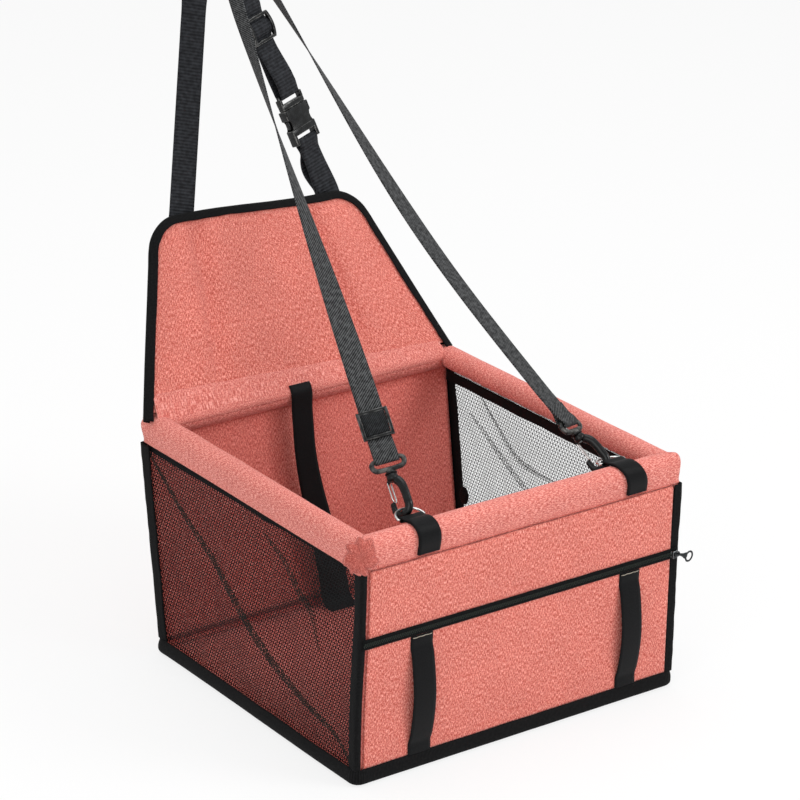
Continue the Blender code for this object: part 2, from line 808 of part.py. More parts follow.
def loop_plane(left, right, apex):
    """The unit normal of a strap loop's plane, pointing up and forward."""
    normal = (Vector(apex) - Vector(left)).cross(Vector(right) - Vector(left)).normalized()
    return normal if normal.z > 0 else -normal


def strap(name, stations, width, slot, home):
    """A strap's solid through its placing matrices, with its origin and axes at its home."""
    back = home.inverted()
    stations = [back @ place for place in stations]
    loops = []
    spots = [place.translation for place in stations]
    for i, place in enumerate(stations):
        along = spots[min(i + 1, len(spots) - 1)] - spots[max(i - 1, 0)]
        across = place.col[0].to_3d()
        across = (across - across.project(along)).normalized() * width / 2
        normal = along.cross(across).normalized() * WEBBING / 2
        spot = place.translation
        loops.append(
            [
                spot - across - normal,
                spot + across - normal,
                spot + across + normal,
                spot - across + normal,
            ]
        )
    return loft(name, loops, slot, home)


def round_bar(strand, bar_at, bar_radius, above=-1, steps=6):
    """Stations of a strap that turns round a bar's underside or its top, from its back to its front."""
    turn = bar_radius + 2 * GAP + WEBBING / 2
    stations = []
    for i in range(steps + 1):
        angle = math.pi * i / steps
        distance = bar_at + above * turn * math.sin(angle)
        stations.append(strand.at(distance, -turn * math.cos(angle)))
    return stations


def through_glide(strand, glide_at):
    """Stations of a strap that lies behind a slide's rails and comes forward over its middle bar."""
    over = GLIDE_THICKNESS / 2 + GLIDE_CLEARANCE + WEBBING / 2
    slot_end = GLIDE_LENGTH / 2 - GLIDE_RAIL - GAP
    bar = GLIDE_BAR / 2 + GAP
    steps = [
        (-GLIDE_LENGTH / 2, -over),
        (-slot_end, -over),
        (-bar, over),
        (bar, over),
        (slot_end, -over),
        (GLIDE_LENGTH / 2, -over),
    ]
    return [strand.at(glide_at + distance, lift) for distance, lift in steps]


def free_run(strand, start, end, steps):
    """Stations of a strap that runs free between two distances up its strand."""
    return [strand.at(start + (end - start) * i / steps) for i in range(steps + 1)]


def over_headrest(left, right, plane, across, steps=6):
    """Stations of the bend at a loop's top, from the left strand round to the right one."""
    middle = (left.direction + right.direction).normalized()
    flat = plane.cross(middle).normalized()
    stations = []
    for i in range(steps + 1):
        angle = math.pi * (i / steps - 0.5)
        spot = left.end + (flat * math.sin(angle) + middle * math.cos(angle)) * APEX_BEND
        along = flat * math.cos(angle) - middle * math.sin(angle)
        stations.append(frame_of(spot, across, along))
    return stations


def build_glide(name, strand, glide_at, width):
    """A strap slide: a crowned frame with two slots, and a middle bar low between its sides."""
    place = strand.at(glide_at)
    half = width / 2 + GAP + GLIDE_FRAME
    slot_half = width / 2 + GAP
    slot_end = GLIDE_LENGTH / 2 - GLIDE_RAIL
    bar = GLIDE_BAR / 2
    back, front = -GLIDE_THICKNESS / 2, GLIDE_THICKNESS / 2
    steps = 8
    section = [(back, GLIDE_LENGTH / 2), (back, -GLIDE_LENGTH / 2)]
    for i in range(steps + 1):
        share = 2 * i / steps - 1
        section.append((front + GLIDE_CROWN * (1 - share * share), share * GLIDE_LENGTH / 2))
    loops = [[(x, y, z) for y, z in section] for x in (-half, half)]
    glide = loft(name, loops, "black_plastic", place)
    bevel(glide, GLIDE_THICKNESS / 5, 2)
    deep = 2 * GLIDE_CROWN + GLIDE_THICKNESS
    for part, low, high in (
        ("slot_low", (-slot_half, -deep, -slot_end), (slot_half, deep, -bar)),
        ("slot_high", (-slot_half, -deep, bar), (slot_half, deep, slot_end)),
        ("over_bar", (-slot_half, front, -bar * 2), (slot_half, deep, bar * 2)),
    ):
        boolean(glide, box(f"{name}_{part}", low, high, None, place), "DIFFERENCE")


def ring_place(x, lean):
    """A D-ring's frame: X along its bar, Z towards its bow, which leans above level."""
    bar_y, bar_z = ring_bar()
    a = math.radians(lean)
    along = Vector((0, math.cos(a), math.sin(a)))
    return frame_of(Vector((x, bar_y, bar_z)), Vector((1, 0, 0)), along)


def bow_point(angle):
    """A point of the D-ring's bow, in the ring's frame."""
    half = TAB_WIDTH / 2 + GAP + RING_WIRE
    return Vector((half * math.cos(angle), 0, RING_RISE * math.sin(angle) ** 0.8))


def hook_start(place, slide):
    """Where a hook's strand starts, so that its bend holds the bow off the bow's middle."""
    half = TAB_WIDTH / 2 + GAP + RING_WIRE
    held = place @ bow_point(math.acos(slide / half))
    return held - (FRONT_APEX - held).normalized() * RING_RISE


def build_ring(name, place):
    """A D-ring: a straight bar in the tab and a bow above it."""
    half = TAB_WIDTH / 2 + GAP + RING_WIRE
    points = [bow_point(math.pi * i / 16) for i in range(17)]
    points += [Vector((half * s, 0, 0)) for s in (-0.85, -0.4, 0.4, 0.85)]
    wire(name, points, RING_WIRE, "bright_wire", place, closed=True)


def build_hook(name, strand, turn):
    """A snap hook: a bar bent into a hook, its head with the swivel's bore, and the gate's lug."""
    place = strand.at(HOOK_HEAD_AT) @ Matrix.Rotation(math.radians(turn), 4, "Z")
    wire_top = RING_RISE - RING_WIRE - 3 * GAP
    bend_z = wire_top - HOOK_BAR + HOOK_BEND - HOOK_HEAD_AT
    head_low = -HOOK_HEAD_LENGTH / 2
    route = [(x, head_low + z) for x, z in HOOK_SHOULDER]
    route += arc((0, bend_z), HOOK_BEND, 12, -180, 12)
    route.append((-HOOK_BEND, bend_z + NOSE_RISE))
    points = [(x, 0, z) for x, z in route]
    radii = [1.0] * (len(points) - len(HOOK_TAPER)) + list(HOOK_TAPER)
    hook = as_mesh(wire(name, points, HOOK_BAR, "black_plastic", place, sides=2, radii=radii))
    head = rod(f"{name}_head", HOOK_HEAD_RADIUS, head_low, -head_low, None, place, 16)
    boolean(hook, head, "UNION")
    lug_x, lug_z = -HOOK_HEAD_RADIUS - LUG_OUT, head_low - LUG_DROP
    half_lug = GATE_HALF_SPREAD - GATE_WIRE - GAP
    low, high = (lug_x, -half_lug, lug_z), (lug_x + LUG_DEPTH, half_lug, lug_z + LUG_HEIGHT)
    boolean(hook, box(f"{name}_lug", low, high, None, place), "UNION")
    bore = rod(f"{name}_bore", EYE_PIN_RADIUS + GAP, 0, HOOK_HEAD_LENGTH, None, place, 14)
    boolean(hook, bore, "DIFFERENCE")
    build_gate(name.replace("hook", "hook_gate"), place, bend_z)


def build_gate(name, place, bend_z):
    """The hook's wire gate: two legs on the head's lug, joined where they meet the nose."""
    nose_radius = HOOK_BAR * HOOK_TAPER[-1]
    hinge_x = -HOOK_HEAD_RADIUS - GATE_OFF_HEAD
    hinge_z = GATE_TOP_AT - HOOK_HEAD_AT
    end_x = -HOOK_BEND + nose_radius + GAP + GATE_WIRE
    end_z = bend_z + NOSE_RISE - GATE_BELOW_NOSE
    own = place @ Matrix.Translation((hinge_x, 0, hinge_z))
    drop = Vector((end_x - hinge_x, 0, end_z - hinge_z))
    spread = Vector((0, GATE_HALF_SPREAD, 0))
    down = [drop * share - spread for share in (0, 0.5, 0.93)] + [drop - spread * 0.6]
    up = [drop + spread * 0.6] + [drop * share + spread for share in (0.93, 0.5, 0)]
    wire(name, down + up, GATE_WIRE, "bright_wire", own)


def build_eye(name, strand):
    """The hook's swivel eye: a flat loop for the webbing, on a pin that turns in the head."""
    head_top = HOOK_HEAD_AT + HOOK_HEAD_LENGTH / 2
    place = strand.at(head_top)
    top = EYE_BAR_AT - head_top
    bottom = top - EYE_DEPTH
    half = EYE_WIDTH / 2
    points = [(x, 0, z) for x, z in rounded_box(half, bottom, top, EYE_CORNER, 4)]
    eye = as_mesh(wire(name, points, EYE_WIRE, "black_plastic", place, closed=True, sides=2))
    boss = rod(f"{name}_boss", EYE_BOSS_RADIUS, GAP, bottom + EYE_WIRE / 2, None, place, 14)
    pin_depth = HOOK_HEAD_LENGTH / 2 - 2 * GAP
    pin = rod(f"{name}_pin", EYE_PIN_RADIUS, -pin_depth, bottom, None, place, 14)
    boolean(eye, boss, "UNION")
    boolean(eye, pin, "UNION")


def build_front_loop():
    """Rings, hooks and the front strap, from the left hook over the headrest to the right one."""
    rings = [ring_place(x, lean) for x, lean in zip(TAB_X, RING_LEAN)]
    starts = [hook_start(ring, slide) for ring, slide in zip(rings, HOOK_SLIDE)]
    plane = loop_plane(starts[0], starts[1], FRONT_APEX)
    left = Strand(
        starts[0],
        FRONT_APEX,
        plane,
        lambda share: LEFT_EYE_TURN + (90 - LEFT_EYE_TURN) * min(max((share - 0.17) / 0.78, 0), 1),
        FRONT_SAG,
        ADJUSTER_AT + GLIDE_LENGTH,
    )
    right = Strand(
        starts[1],
        FRONT_APEX,
        plane,
        lambda share: RIGHT_EYE_TURN + (90 - RIGHT_EYE_TURN) * smooth_step(share, 0.2, 1.1),
        FRONT_SAG,
        EYE_BAR_AT + SEWN_END,
    )
    for side, strand, ring, turn in (
        ("left", left, rings[0], HOOK_TURN[0] - LEFT_EYE_TURN),
        ("right", right, rings[1], HOOK_TURN[1] - RIGHT_EYE_TURN),
    ):
        build_ring(f"d_ring_{side}", ring)
        build_hook(f"hook_{side}", strand, turn)
        build_eye(f"hook_eye_{side}", strand)
    glide_low = ADJUSTER_AT - GLIDE_LENGTH / 2
    glide_high = ADJUSTER_AT + GLIDE_LENGTH / 2
    behind = -(GLIDE_THICKNESS / 2 + GLIDE_CLEARANCE + 1.5 * WEBBING + GAP)
    bend_share = 1 - APEX_BEND * BEND_LEAD / left.length
    stations = [left.at(glide_low - GAP, behind), left.at(EYE_BAR_AT + STRAP_LEAD / 2, behind)]
    stations += round_bar(left, EYE_BAR_AT, EYE_WIRE)
    stations += through_glide(left, ADJUSTER_AT)
    stations += free_run(left, glide_high + STRAP_LEAD, left.length * bend_share, 22)
    stations += over_headrest(left, right, plane, plane)
    stations += free_run(right, right.length * bend_share, EYE_BAR_AT + STRAP_LEAD * 1.4, 22)
    stations += round_bar(right, EYE_BAR_AT, EYE_WIRE)
    lap = WEBBING + GAP
    stations += [right.at(EYE_BAR_AT + STRAP_LEAD, lap), right.at(EYE_BAR_AT + SEWN_END, lap)]
    home = Matrix.Translation((0, *ring_bar()))
    strap("front_strap", stations, FRONT_WIDTH, "grey_webbing", home)
    build_glide("front_adjuster", left, ADJUSTER_AT, FRONT_WIDTH)


def backrest_half(height):
    """Half the backrest's width at a height up its slope, with its rounded top corners."""
    slope = (BACKREST_FOOT_HALF - BACKREST_TOP_HALF) / BACKREST_HEIGHT
    half = BACKREST_FOOT_HALF - slope * height
    over = height - (BACKREST_HEIGHT - BACKREST_CORNER)
    if over > 0:
        half -= BACKREST_CORNER - math.sqrt(max(BACKREST_CORNER**2 - over**2, 0))
    return half


def backrest_place():
    """The backrest's frame: X along its hinge, Z up its slope."""
    return Matrix.Translation(HINGE) @ Matrix.Rotation(math.radians(-BACKREST_LEAN), 4, "X")


def backrest_heights(steps=7, corner_steps=4):
    """Heights of the backrest's rows, from its foot on the rim up round its top corners."""
    straight = BACKREST_HEIGHT - BACKREST_CORNER
    heights = [-BACKREST_FOOT] + [straight * i / steps for i in range(steps + 1)]
    for i in range(1, corner_steps + 1):
        heights.append(straight + BACKREST_CORNER * math.sin(math.pi / 2 * i / corner_steps))
    return heights


def build_backrest():
    """The padded panel with soft upright folds, and the binding round its free edge."""
    place = backrest_place()
    columns = 16
    grid = []
    for height in backrest_heights():
        half = backrest_half(height)
        below_top = BACKREST_HEIGHT - height
        row = []
        for j in range(columns + 1):
            share = 2 * j / columns - 1
            from_edge = 0.7 * min(half * (1 - abs(share)), below_top) - EDGE_BINDING_WIDTH
            edge = smooth_step(from_edge, 0, EDGE_BINDING_WIDTH * 2)
            edge *= smooth_step(height, 0, FOLD_RISE)
            fold = BACKREST_FOLD * edge * math.cos(BACKREST_FOLDS * math.pi * share)
            row.append((half * share, fold, height))
        grid.append(row)
    sheet("backrest_panel", grid, BACKREST_THICKNESS, "coral_cloth", place)

    heights = [BINDING_FROM] + [h for h in backrest_heights() if h > BINDING_FROM]
    route = [(backrest_half(h), h) for h in heights]
    route += [(-x, z) for x, z in reversed(route)]
    half_gap = BACKREST_THICKNESS / 2 + GAP
    half_all = half_gap + EDGE_BINDING
    width = EDGE_BINDING_WIDTH
    rim = 2 * GAP
    section = [
        (-width, -half_all),
        (rim + EDGE_BINDING, -half_all),
        (rim + EDGE_BINDING, half_all),
        (-width, half_all),
        (-width, half_gap),
        (rim, half_gap),
        (rim, -half_gap),
        (-width, -half_gap),
    ]
    loops = []
    for i, point in enumerate(route):
        before = Vector(route[max(i - 1, 0)])
        after = Vector(route[min(i + 1, len(route) - 1)])
        direction = (after - before).normalized()
        out = Vector((direction.y, -direction.x))
        loops.append(
            [(point[0] + out.x * a, y, point[1] + out.y * a) for a, y in section]
        )
    loft("backrest_binding", loops, "black_binding", place)


def build_rear_loop():
    """The rear strap from the backrest's left corner, with its slider, buckle and lower strap."""
    backrest = backrest_place()
    behind = BACKREST_THICKNESS / 2 + EDGE_BINDING + 2 * GAP + WEBBING / 2
    top = BACKREST_HEIGHT + EDGE_BINDING + 3 * GAP
    starts = [backrest @ Vector((x, behind, top)) for x in REAR_X]
    sewn = [backrest @ Vector((x, behind, top - REAR_SEWN)) for x in REAR_X]
    plane = loop_plane(starts[0], starts[1], REAR_APEX)
    left = Strand(starts[0], REAR_APEX, plane, lambda share: -90 * smooth_step(share, 0.62, 0.97))
    right = Strand(
        starts[1],
        REAR_APEX,
        plane,
        lambda share: REAR_RIGHT_TURN * smooth_step(share, 0, 0.12)
        - (90 + REAR_RIGHT_TURN) * smooth_step(share, 0.66, 0.97),
    )
    upright = backrest.to_3x3() @ Vector((0, 0, 1))
    side = Vector((-1, 0, 0))
    plug_at = BUCKLE_AT + SOCKET_FOOT + SOCKET_BODY
    plug_bar_at = plug_at + PLUG_BASE + PLUG_SLOT + PLUG_BAR / 2
    socket_bar_at = BUCKLE_AT + BUCKLE_BAR / 2

    bend_share = 1 - APEX_BEND * BEND_LEAD / left.length
    glide_low = REAR_SLIDER_AT - GLIDE_LENGTH / 2
    glide_high = REAR_SLIDER_AT + GLIDE_LENGTH / 2
    second = -(GLIDE_THICKNESS / 2 + GLIDE_CLEARANCE + 1.5 * WEBBING + GAP)
    stations = [frame_of(sewn[0], side, upright), frame_of(starts[0], side, upright)]
    stations += free_run(left, STRAP_LEAD, left.length * bend_share, 14)
    stations += over_headrest(left, right, plane, -plane)
    stations += free_run(right, right.length * bend_share, glide_high + STRAP_LEAD, 8)
    stations += reversed(through_glide(right, REAR_SLIDER_AT))
    stations += reversed(round_bar(right, plug_bar_at, PLUG_BAR / 2))
    stations.append(right.at(plug_bar_at + STRAP_LEAD * 0.7, second))
    stations.append(right.at(glide_low - GAP, second))
    strap("rear_strap", stations, REAR_WIDTH, "black_webbing", backrest)
    build_glide("rear_slider", right, REAR_SLIDER_AT, REAR_WIDTH)

    lap = WEBBING + GAP
    back = backrest @ Matrix.Translation((0, lap, 0)) @ backrest.inverted()
    low, high, steps = STRAP_LEAD * 0.8, socket_bar_at - STRAP_LEAD, 5
    doubled = [frame_of(back @ spot, side, upright) for spot in (sewn[1], starts[1])]
    for i in range(steps + 1):
        share = i / steps
        slack = LOWER_SLACK * math.sin(math.pi * share)
        doubled.append(right.at(low + (high - low) * share, -lap - slack))
    doubled += round_bar(right, socket_bar_at, BUCKLE_BAR / 2, 1)
    doubled += free_run(right, high, low, 4)
    doubled += [frame_of(starts[1], side, upright), frame_of(sewn[1], side, upright)]
    strap("rear_strap_lower", doubled, REAR_WIDTH, "black_webbing", backrest)
    build_buckle(right.at(BUCKLE_AT), right.at(plug_at))


def build_buckle(socket_place, plug_place):
    """A side-release buckle. The socket is open at its top and sides, for the plug's arms."""
    half = REAR_WIDTH / 2 + GAP + BUCKLE_SIDE
    slot_half = REAR_WIDTH / 2 + GAP
    half_deep = BUCKLE_THICKNESS / 2
    wall = SOCKET_WALL
    socket_top = SOCKET_FOOT + SOCKET_BODY - GAP
    cavity_half = half - wall * 1.6
    cavity_deep = half_deep - wall
    window_low = SOCKET_FOOT + WINDOW_FROM
    window_high = window_low + WINDOW_LENGTH
    low, high = (-half, -half_deep, 0), (half, half_deep, socket_top)
    socket = box("buckle_socket", low, high, "black_plastic", socket_place)
    bevel(socket, BUCKLE_THICKNESS * 0.18, 2)
    deep = half_deep * 2
    for name, side in (("left", -1), ("right", 1)):
        spot = (side * (half + WAIST_RADIUS - WAIST_DEPTH), 0, (window_low + window_high) / 2)
        beside = socket_place @ Matrix.Translation(spot) @ Matrix.Rotation(math.radians(90), 4, "X")
        waist = rod(f"socket_waist_{name}", WAIST_RADIUS, -deep, deep, None, beside, 32)
        boolean(socket, waist, "DIFFERENCE")
    for name, across, depth, low, high in (
        ("slot", slot_half, deep, BUCKLE_BAR, SOCKET_FOOT - wall),
        ("cavity", cavity_half, cavity_deep, SOCKET_FOOT + wall, socket_top * 2),
        ("windows", half * 2, cavity_deep, window_low, window_high),
    ):
        cutter = box(
            f"socket_{name}", (-across, -depth, low), (across, depth, high), None, socket_place
        )
        boolean(socket, cutter, "DIFFERENCE")
    thin_bar(socket, slot_half, -BUCKLE_BAR, BUCKLE_BAR * 1.2, BUCKLE_BAR, socket_place)

    plug_half, plug_deep = half - PLUG_INSET, half_deep - PLUG_INSET
    plug_top = PLUG_BASE + PLUG_SLOT + PLUG_BAR
    corner = (plug_half - PLUG_CORNER, plug_top - PLUG_CORNER)
    outline = [(plug_half, 0)] + arc(corner, PLUG_CORNER, 0, 90, 5)
    outline += [(-x, z) for x, z in reversed(outline)]
    loops = [[(x, y, z) for x, z in outline] for y in (-plug_deep, plug_deep)]
    plug = loft("buckle_plug", loops, "black_plastic", plug_place)
    bevel(plug, BUCKLE_THICKNESS * 0.14, 2)
    slot_top = PLUG_BASE + PLUG_SLOT
    low, high = (-slot_half, -deep, PLUG_BASE), (slot_half, deep, slot_top)
    boolean(plug, box("plug_slot", low, high, None, plug_place), "DIFFERENCE")
    thin_bar(plug, slot_half, slot_top - PLUG_BAR / 5, plug_top * 2, PLUG_BAR, plug_place)
    inner_deep = cavity_deep - 4 * GAP
    tongue_low = WINDOW_FROM - SOCKET_BODY
    low = (-TONGUE_WIDTH / 2, -inner_deep, tongue_low)
    high = (TONGUE_WIDTH / 2, inner_deep, PLUG_BASE / 2)
    boolean(plug, box("plug_tongue", low, high, None, plug_place), "UNION")
    build_arms(plug_place, half, cavity_half - GAP, inner_deep)


def thin_bar(buckle, slot_half, low, high, bar, place):
    """Thins a buckle's webbing bar on both faces, so that the webbing turns round it."""
    for name, side in (("front", -1), ("back", 1)):
        near, far = sorted((side * bar / 2 * BAR_FLATNESS, side * BUCKLE_THICKNESS))
        cutter = box(
            f"{buckle.name}_bar_{name}", (-slot_half, near, low), (slot_half, far, high), None, place
        )
        boolean(buckle, cutter, "DIFFERENCE")


def build_arms(place, half, inner_half, inner_deep):
    """The plug's two spring arms, hinged at their roots. Their buttons fill the side windows."""
    button_low = WINDOW_FROM - SOCKET_BODY + 2 * GAP
    button_high = button_low + WINDOW_LENGTH - 4 * GAP
    hinge = inner_half - ARM_THICKNESS * 2.1
    root = ARM_THICKNESS / 2
    inner, outer = inner_half - hinge, half - hinge
    for name, side in (("left", -1), ("right", 1)):
        outline = [
            (-root, -GAP),
            (root, -GAP),
            (inner - ARM_THICKNESS * 0.4, button_high + 0.0015),
            (inner - ARM_THICKNESS * 0.4, button_high),
            (outer, button_high - 0.0012),
            (outer + 0.0006, (button_low + button_high) / 2),
            (outer - 0.0016, button_low),
            (inner - 0.0010, button_low),
            (inner - 0.0030, -ARM_LENGTH),
            (inner - 0.0058, -ARM_LENGTH),
            (-root, button_high),
        ]
        points = [(side * x, z) for x, z in outline]
        own = place @ Matrix.Translation((side * hinge, 0, 0))
        plate(f"buckle_arm_{name}", [points], 2 * inner_deep, "black_plastic", own)


def build_tether():
    """The tether strap: its cut end stands over the rear rim, and it hangs inside to the floor."""
    rim_y = HALF_DEPTH - SLEEVE_INSET
    offset = GAP + TETHER_WEBBING / 2
    reach = SLEEVE_RADIUS + offset
    over_rim = arc((rim_y, RIM_AXIS), reach, TETHER_FROM, 180, 3)
    top = (rim_y - reach, RIM_AXIS - SLEEVE_DROP / 2)
    floor = FLOOR_THICKNESS + offset
    foot = (back_face(floor) - BOARD - TETHER_STAND_OFF, floor + 0.010)
    steps = 8
    hanging = [Vector(top).lerp(Vector(foot), i / steps) for i in range(steps + 1)]
    on_floor = [(foot[0] - 0.003, floor + 0.003), (foot[0] - 0.009, floor)]
    on_floor.append((foot[0] - TETHER_ON_FLOOR, floor))
    route = over_rim + [tuple(point) for point in hanging] + on_floor
    webbing("tether_strap", route, TETHER_WIDTH, TETHER_X, TETHER_WEBBING, "black_webbing")


clear_scene()
CARRIER = make_collection("dog_carrier")
CUTTERS = make_collection("cutters")
build_walls()
build_net(-1, "mesh_left")
build_net(1, "mesh_right")
build_rim()
build_elbows()
build_corner_bindings()
build_foot_binding()
build_mesh_strips()
build_zip()
build_belt_loops()
build_tabs()
build_front_loop()
build_backrest()
build_rear_loop()
build_tether()
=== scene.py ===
import math

import bmesh
import bpy
from mathutils import Matrix, Vector, noise


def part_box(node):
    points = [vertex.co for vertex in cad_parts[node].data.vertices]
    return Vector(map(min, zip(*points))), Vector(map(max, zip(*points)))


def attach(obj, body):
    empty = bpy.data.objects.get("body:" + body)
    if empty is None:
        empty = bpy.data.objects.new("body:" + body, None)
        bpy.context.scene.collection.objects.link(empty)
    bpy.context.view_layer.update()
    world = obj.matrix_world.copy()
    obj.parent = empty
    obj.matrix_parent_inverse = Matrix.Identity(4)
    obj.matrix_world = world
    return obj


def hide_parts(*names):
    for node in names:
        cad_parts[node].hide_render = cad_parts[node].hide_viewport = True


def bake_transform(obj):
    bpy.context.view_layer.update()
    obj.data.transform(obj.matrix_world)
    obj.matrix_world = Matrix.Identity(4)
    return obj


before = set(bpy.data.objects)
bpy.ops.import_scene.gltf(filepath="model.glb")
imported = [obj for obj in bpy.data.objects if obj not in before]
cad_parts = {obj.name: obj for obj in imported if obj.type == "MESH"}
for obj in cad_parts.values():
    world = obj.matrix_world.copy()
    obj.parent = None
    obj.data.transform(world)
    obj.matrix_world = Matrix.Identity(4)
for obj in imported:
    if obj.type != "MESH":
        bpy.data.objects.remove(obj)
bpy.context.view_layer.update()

# Camera: high to the carrier's left front, as in the photograph. Its long lens keeps the
# uprights nearly parallel.
AZIMUTH, ELEVATION, ROLL = math.radians(-36.59), math.radians(21.74), math.radians(1.12)
TARGET, DISTANCE = Vector((-0.0114, 0.0, 0.3006)), 3.624
back = Vector((math.sin(AZIMUTH) * math.cos(ELEVATION), -math.cos(AZIMUTH) * math.cos(ELEVATION), 0))
back.z = math.sin(ELEVATION)
right = (-back).cross(Vector((0, 0, 1))).normalized()
up = right.cross(-back)
rolled = right * math.cos(ROLL) + up * math.sin(ROLL)
camera = bpy.data.objects.new("camera", bpy.data.cameras.new("camera"))
camera.data.lens = 157.5
camera.data.sensor_width = 36.0
camera.data.clip_end = 50.0
camera.matrix_world = Matrix((rolled, back.cross(rolled), back)).transposed().to_4x4()
camera.matrix_world.translation = TARGET + back * DISTANCE
bpy.context.scene.collection.objects.link(camera)
bpy.context.scene.camera = camera


# Studio: a white floor that keeps a soft shadow, white all round, and large soft lamps above.
# The key lamp stands to the right of the front, so shadows fall to the left.
def linear(hex_colour):
    """An sRGB hex colour as linear RGBA."""
    channels = [int(hex_colour[i : i + 2], 16) / 255 for i in (1, 3, 5)]
    return (*[c / 12.92 if c <= 0.04045 else ((c + 0.055) / 1.055) ** 2.4 for c in channels], 1.0)


def add(tree, kind, inputs=None, **settings):
    """Adds a node. An input takes a value or the socket that feeds it."""
    made = tree.nodes.new(kind)
    for key, value in settings.items():
        setattr(made, key, value)
    for key, value in (inputs or {}).items():
        if isinstance(value, bpy.types.NodeSocket):
            tree.links.new(value, made.inputs[key])
        else:
            made.inputs[key].default_value = value
    return made


def empty_tree(owner):
    """The owner's node tree with nothing in it but its output."""
    owner.use_nodes = True
    tree = owner.node_tree
    tree.nodes.clear()
    kind = "ShaderNodeOutputWorld" if isinstance(owner, bpy.types.World) else "ShaderNodeOutputMaterial"
    return tree, tree.nodes.new(kind)


def seen_directly(tree):
    """1 for camera, glossy and transmitted rays, which show the white studio; 0 for other light."""
    path = add(tree, "ShaderNodeLightPath")
    rays = add(
        tree, "ShaderNodeMath",
        {0: path.outputs["Is Camera Ray"], 1: path.outputs["Is Transmission Ray"]},
        operation="ADD", use_clamp=True,
    )
    return add(
        tree, "ShaderNodeMath", {0: rays.outputs[0], 1: path.outputs["Is Glossy Ray"]},
        operation="ADD", use_clamp=True,
    ).outputs[0]


world = bpy.data.worlds.new("white_studio")
bpy.context.scene.world = world
tree, output = empty_tree(world)
ambient = add(tree, "ShaderNodeBackground", {"Color": (1, 1, 1, 1), "Strength": 0.66})
shown = add(tree, "ShaderNodeBackground", {"Color": (1, 1, 1, 1), "Strength": 1.0})
path = add(tree, "ShaderNodeLightPath")
mixed = add(
    tree, "ShaderNodeMixShader",
    {0: path.outputs["Is Camera Ray"], 1: ambient.outputs[0], 2: shown.outputs[0]},
)
tree.links.new(mixed.outputs[0], output.inputs[0])

FLOOR_HALF, FLOOR_DROP = 6.0, 0.0040
bm = bmesh.new()
bmesh.ops.create_grid(bm, x_segments=8, y_segments=8, size=FLOOR_HALF)
bmesh.ops.translate(bm, vec=(0, 0, -FLOOR_DROP), verts=bm.verts)
mesh = bpy.data.meshes.new("studio_floor")
bm.to_mesh(mesh)
bm.free()
floor = bpy.data.objects.new("studio_floor", mesh)
bpy.context.scene.collection.objects.link(floor)
paper = bpy.data.materials.new("white_paper_floor")
tree, output = empty_tree(paper)
matt = add(tree, "ShaderNodeBsdfDiffuse", {"Color": (0.86, 0.86, 0.86, 1)})
lit = add(tree, "ShaderNodeEmission", {"Color": (1, 1, 1, 1), "Strength": 1.0})
share = add(tree, "ShaderNodeMath", {0: seen_directly(tree), 1: 0.80}, operation="MULTIPLY")
mixed = add(tree, "ShaderNodeMixShader", {0: share.outputs[0], 1: matt.outputs[0], 2: lit.outputs[0]})
tree.links.new(mixed.outputs[0], output.inputs[0])
mesh.materials.append(paper)

LAMP_AIM = Vector((0, 0, 0.25))
for name, spot, size, power in (
    ("key_lamp", (1.7, -2.2, 2.4), 1.6, 47),
    ("fill_lamp", (-2.6, -1.6, 1.9), 2.2, 24),
    ("top_lamp", (0.2, 0.4, 3.2), 2.4, 30),
):
    lamp = bpy.data.lights.new(name, "AREA")
    lamp.shape = "DISK"
    lamp.size = size
    lamp.energy = power
    made = bpy.data.objects.new(name, lamp)
    made.matrix_world = (Vector(spot) - LAMP_AIM).to_track_quat("Z", "Y").to_matrix().to_4x4()
    made.matrix_world.translation = Vector(spot)
    bpy.context.scene.collection.objects.link(made)

bpy.context.scene.view_settings.view_transform = "Standard"


# Front of the tub: two stiff canvas panels over a board, the upper one above the zip and the
# pocket below it. Yarn-dyed polyester canvas in coral melange, woven like linen.
def shader_of(tree, output, roughness, **values):
    """The material's Principled shader, linked to its output."""
    shader = add(tree, "ShaderNodeBsdfPrincipled", {"Roughness": roughness, **values})
    tree.links.new(shader.outputs[0], output.inputs[0])
    return shader


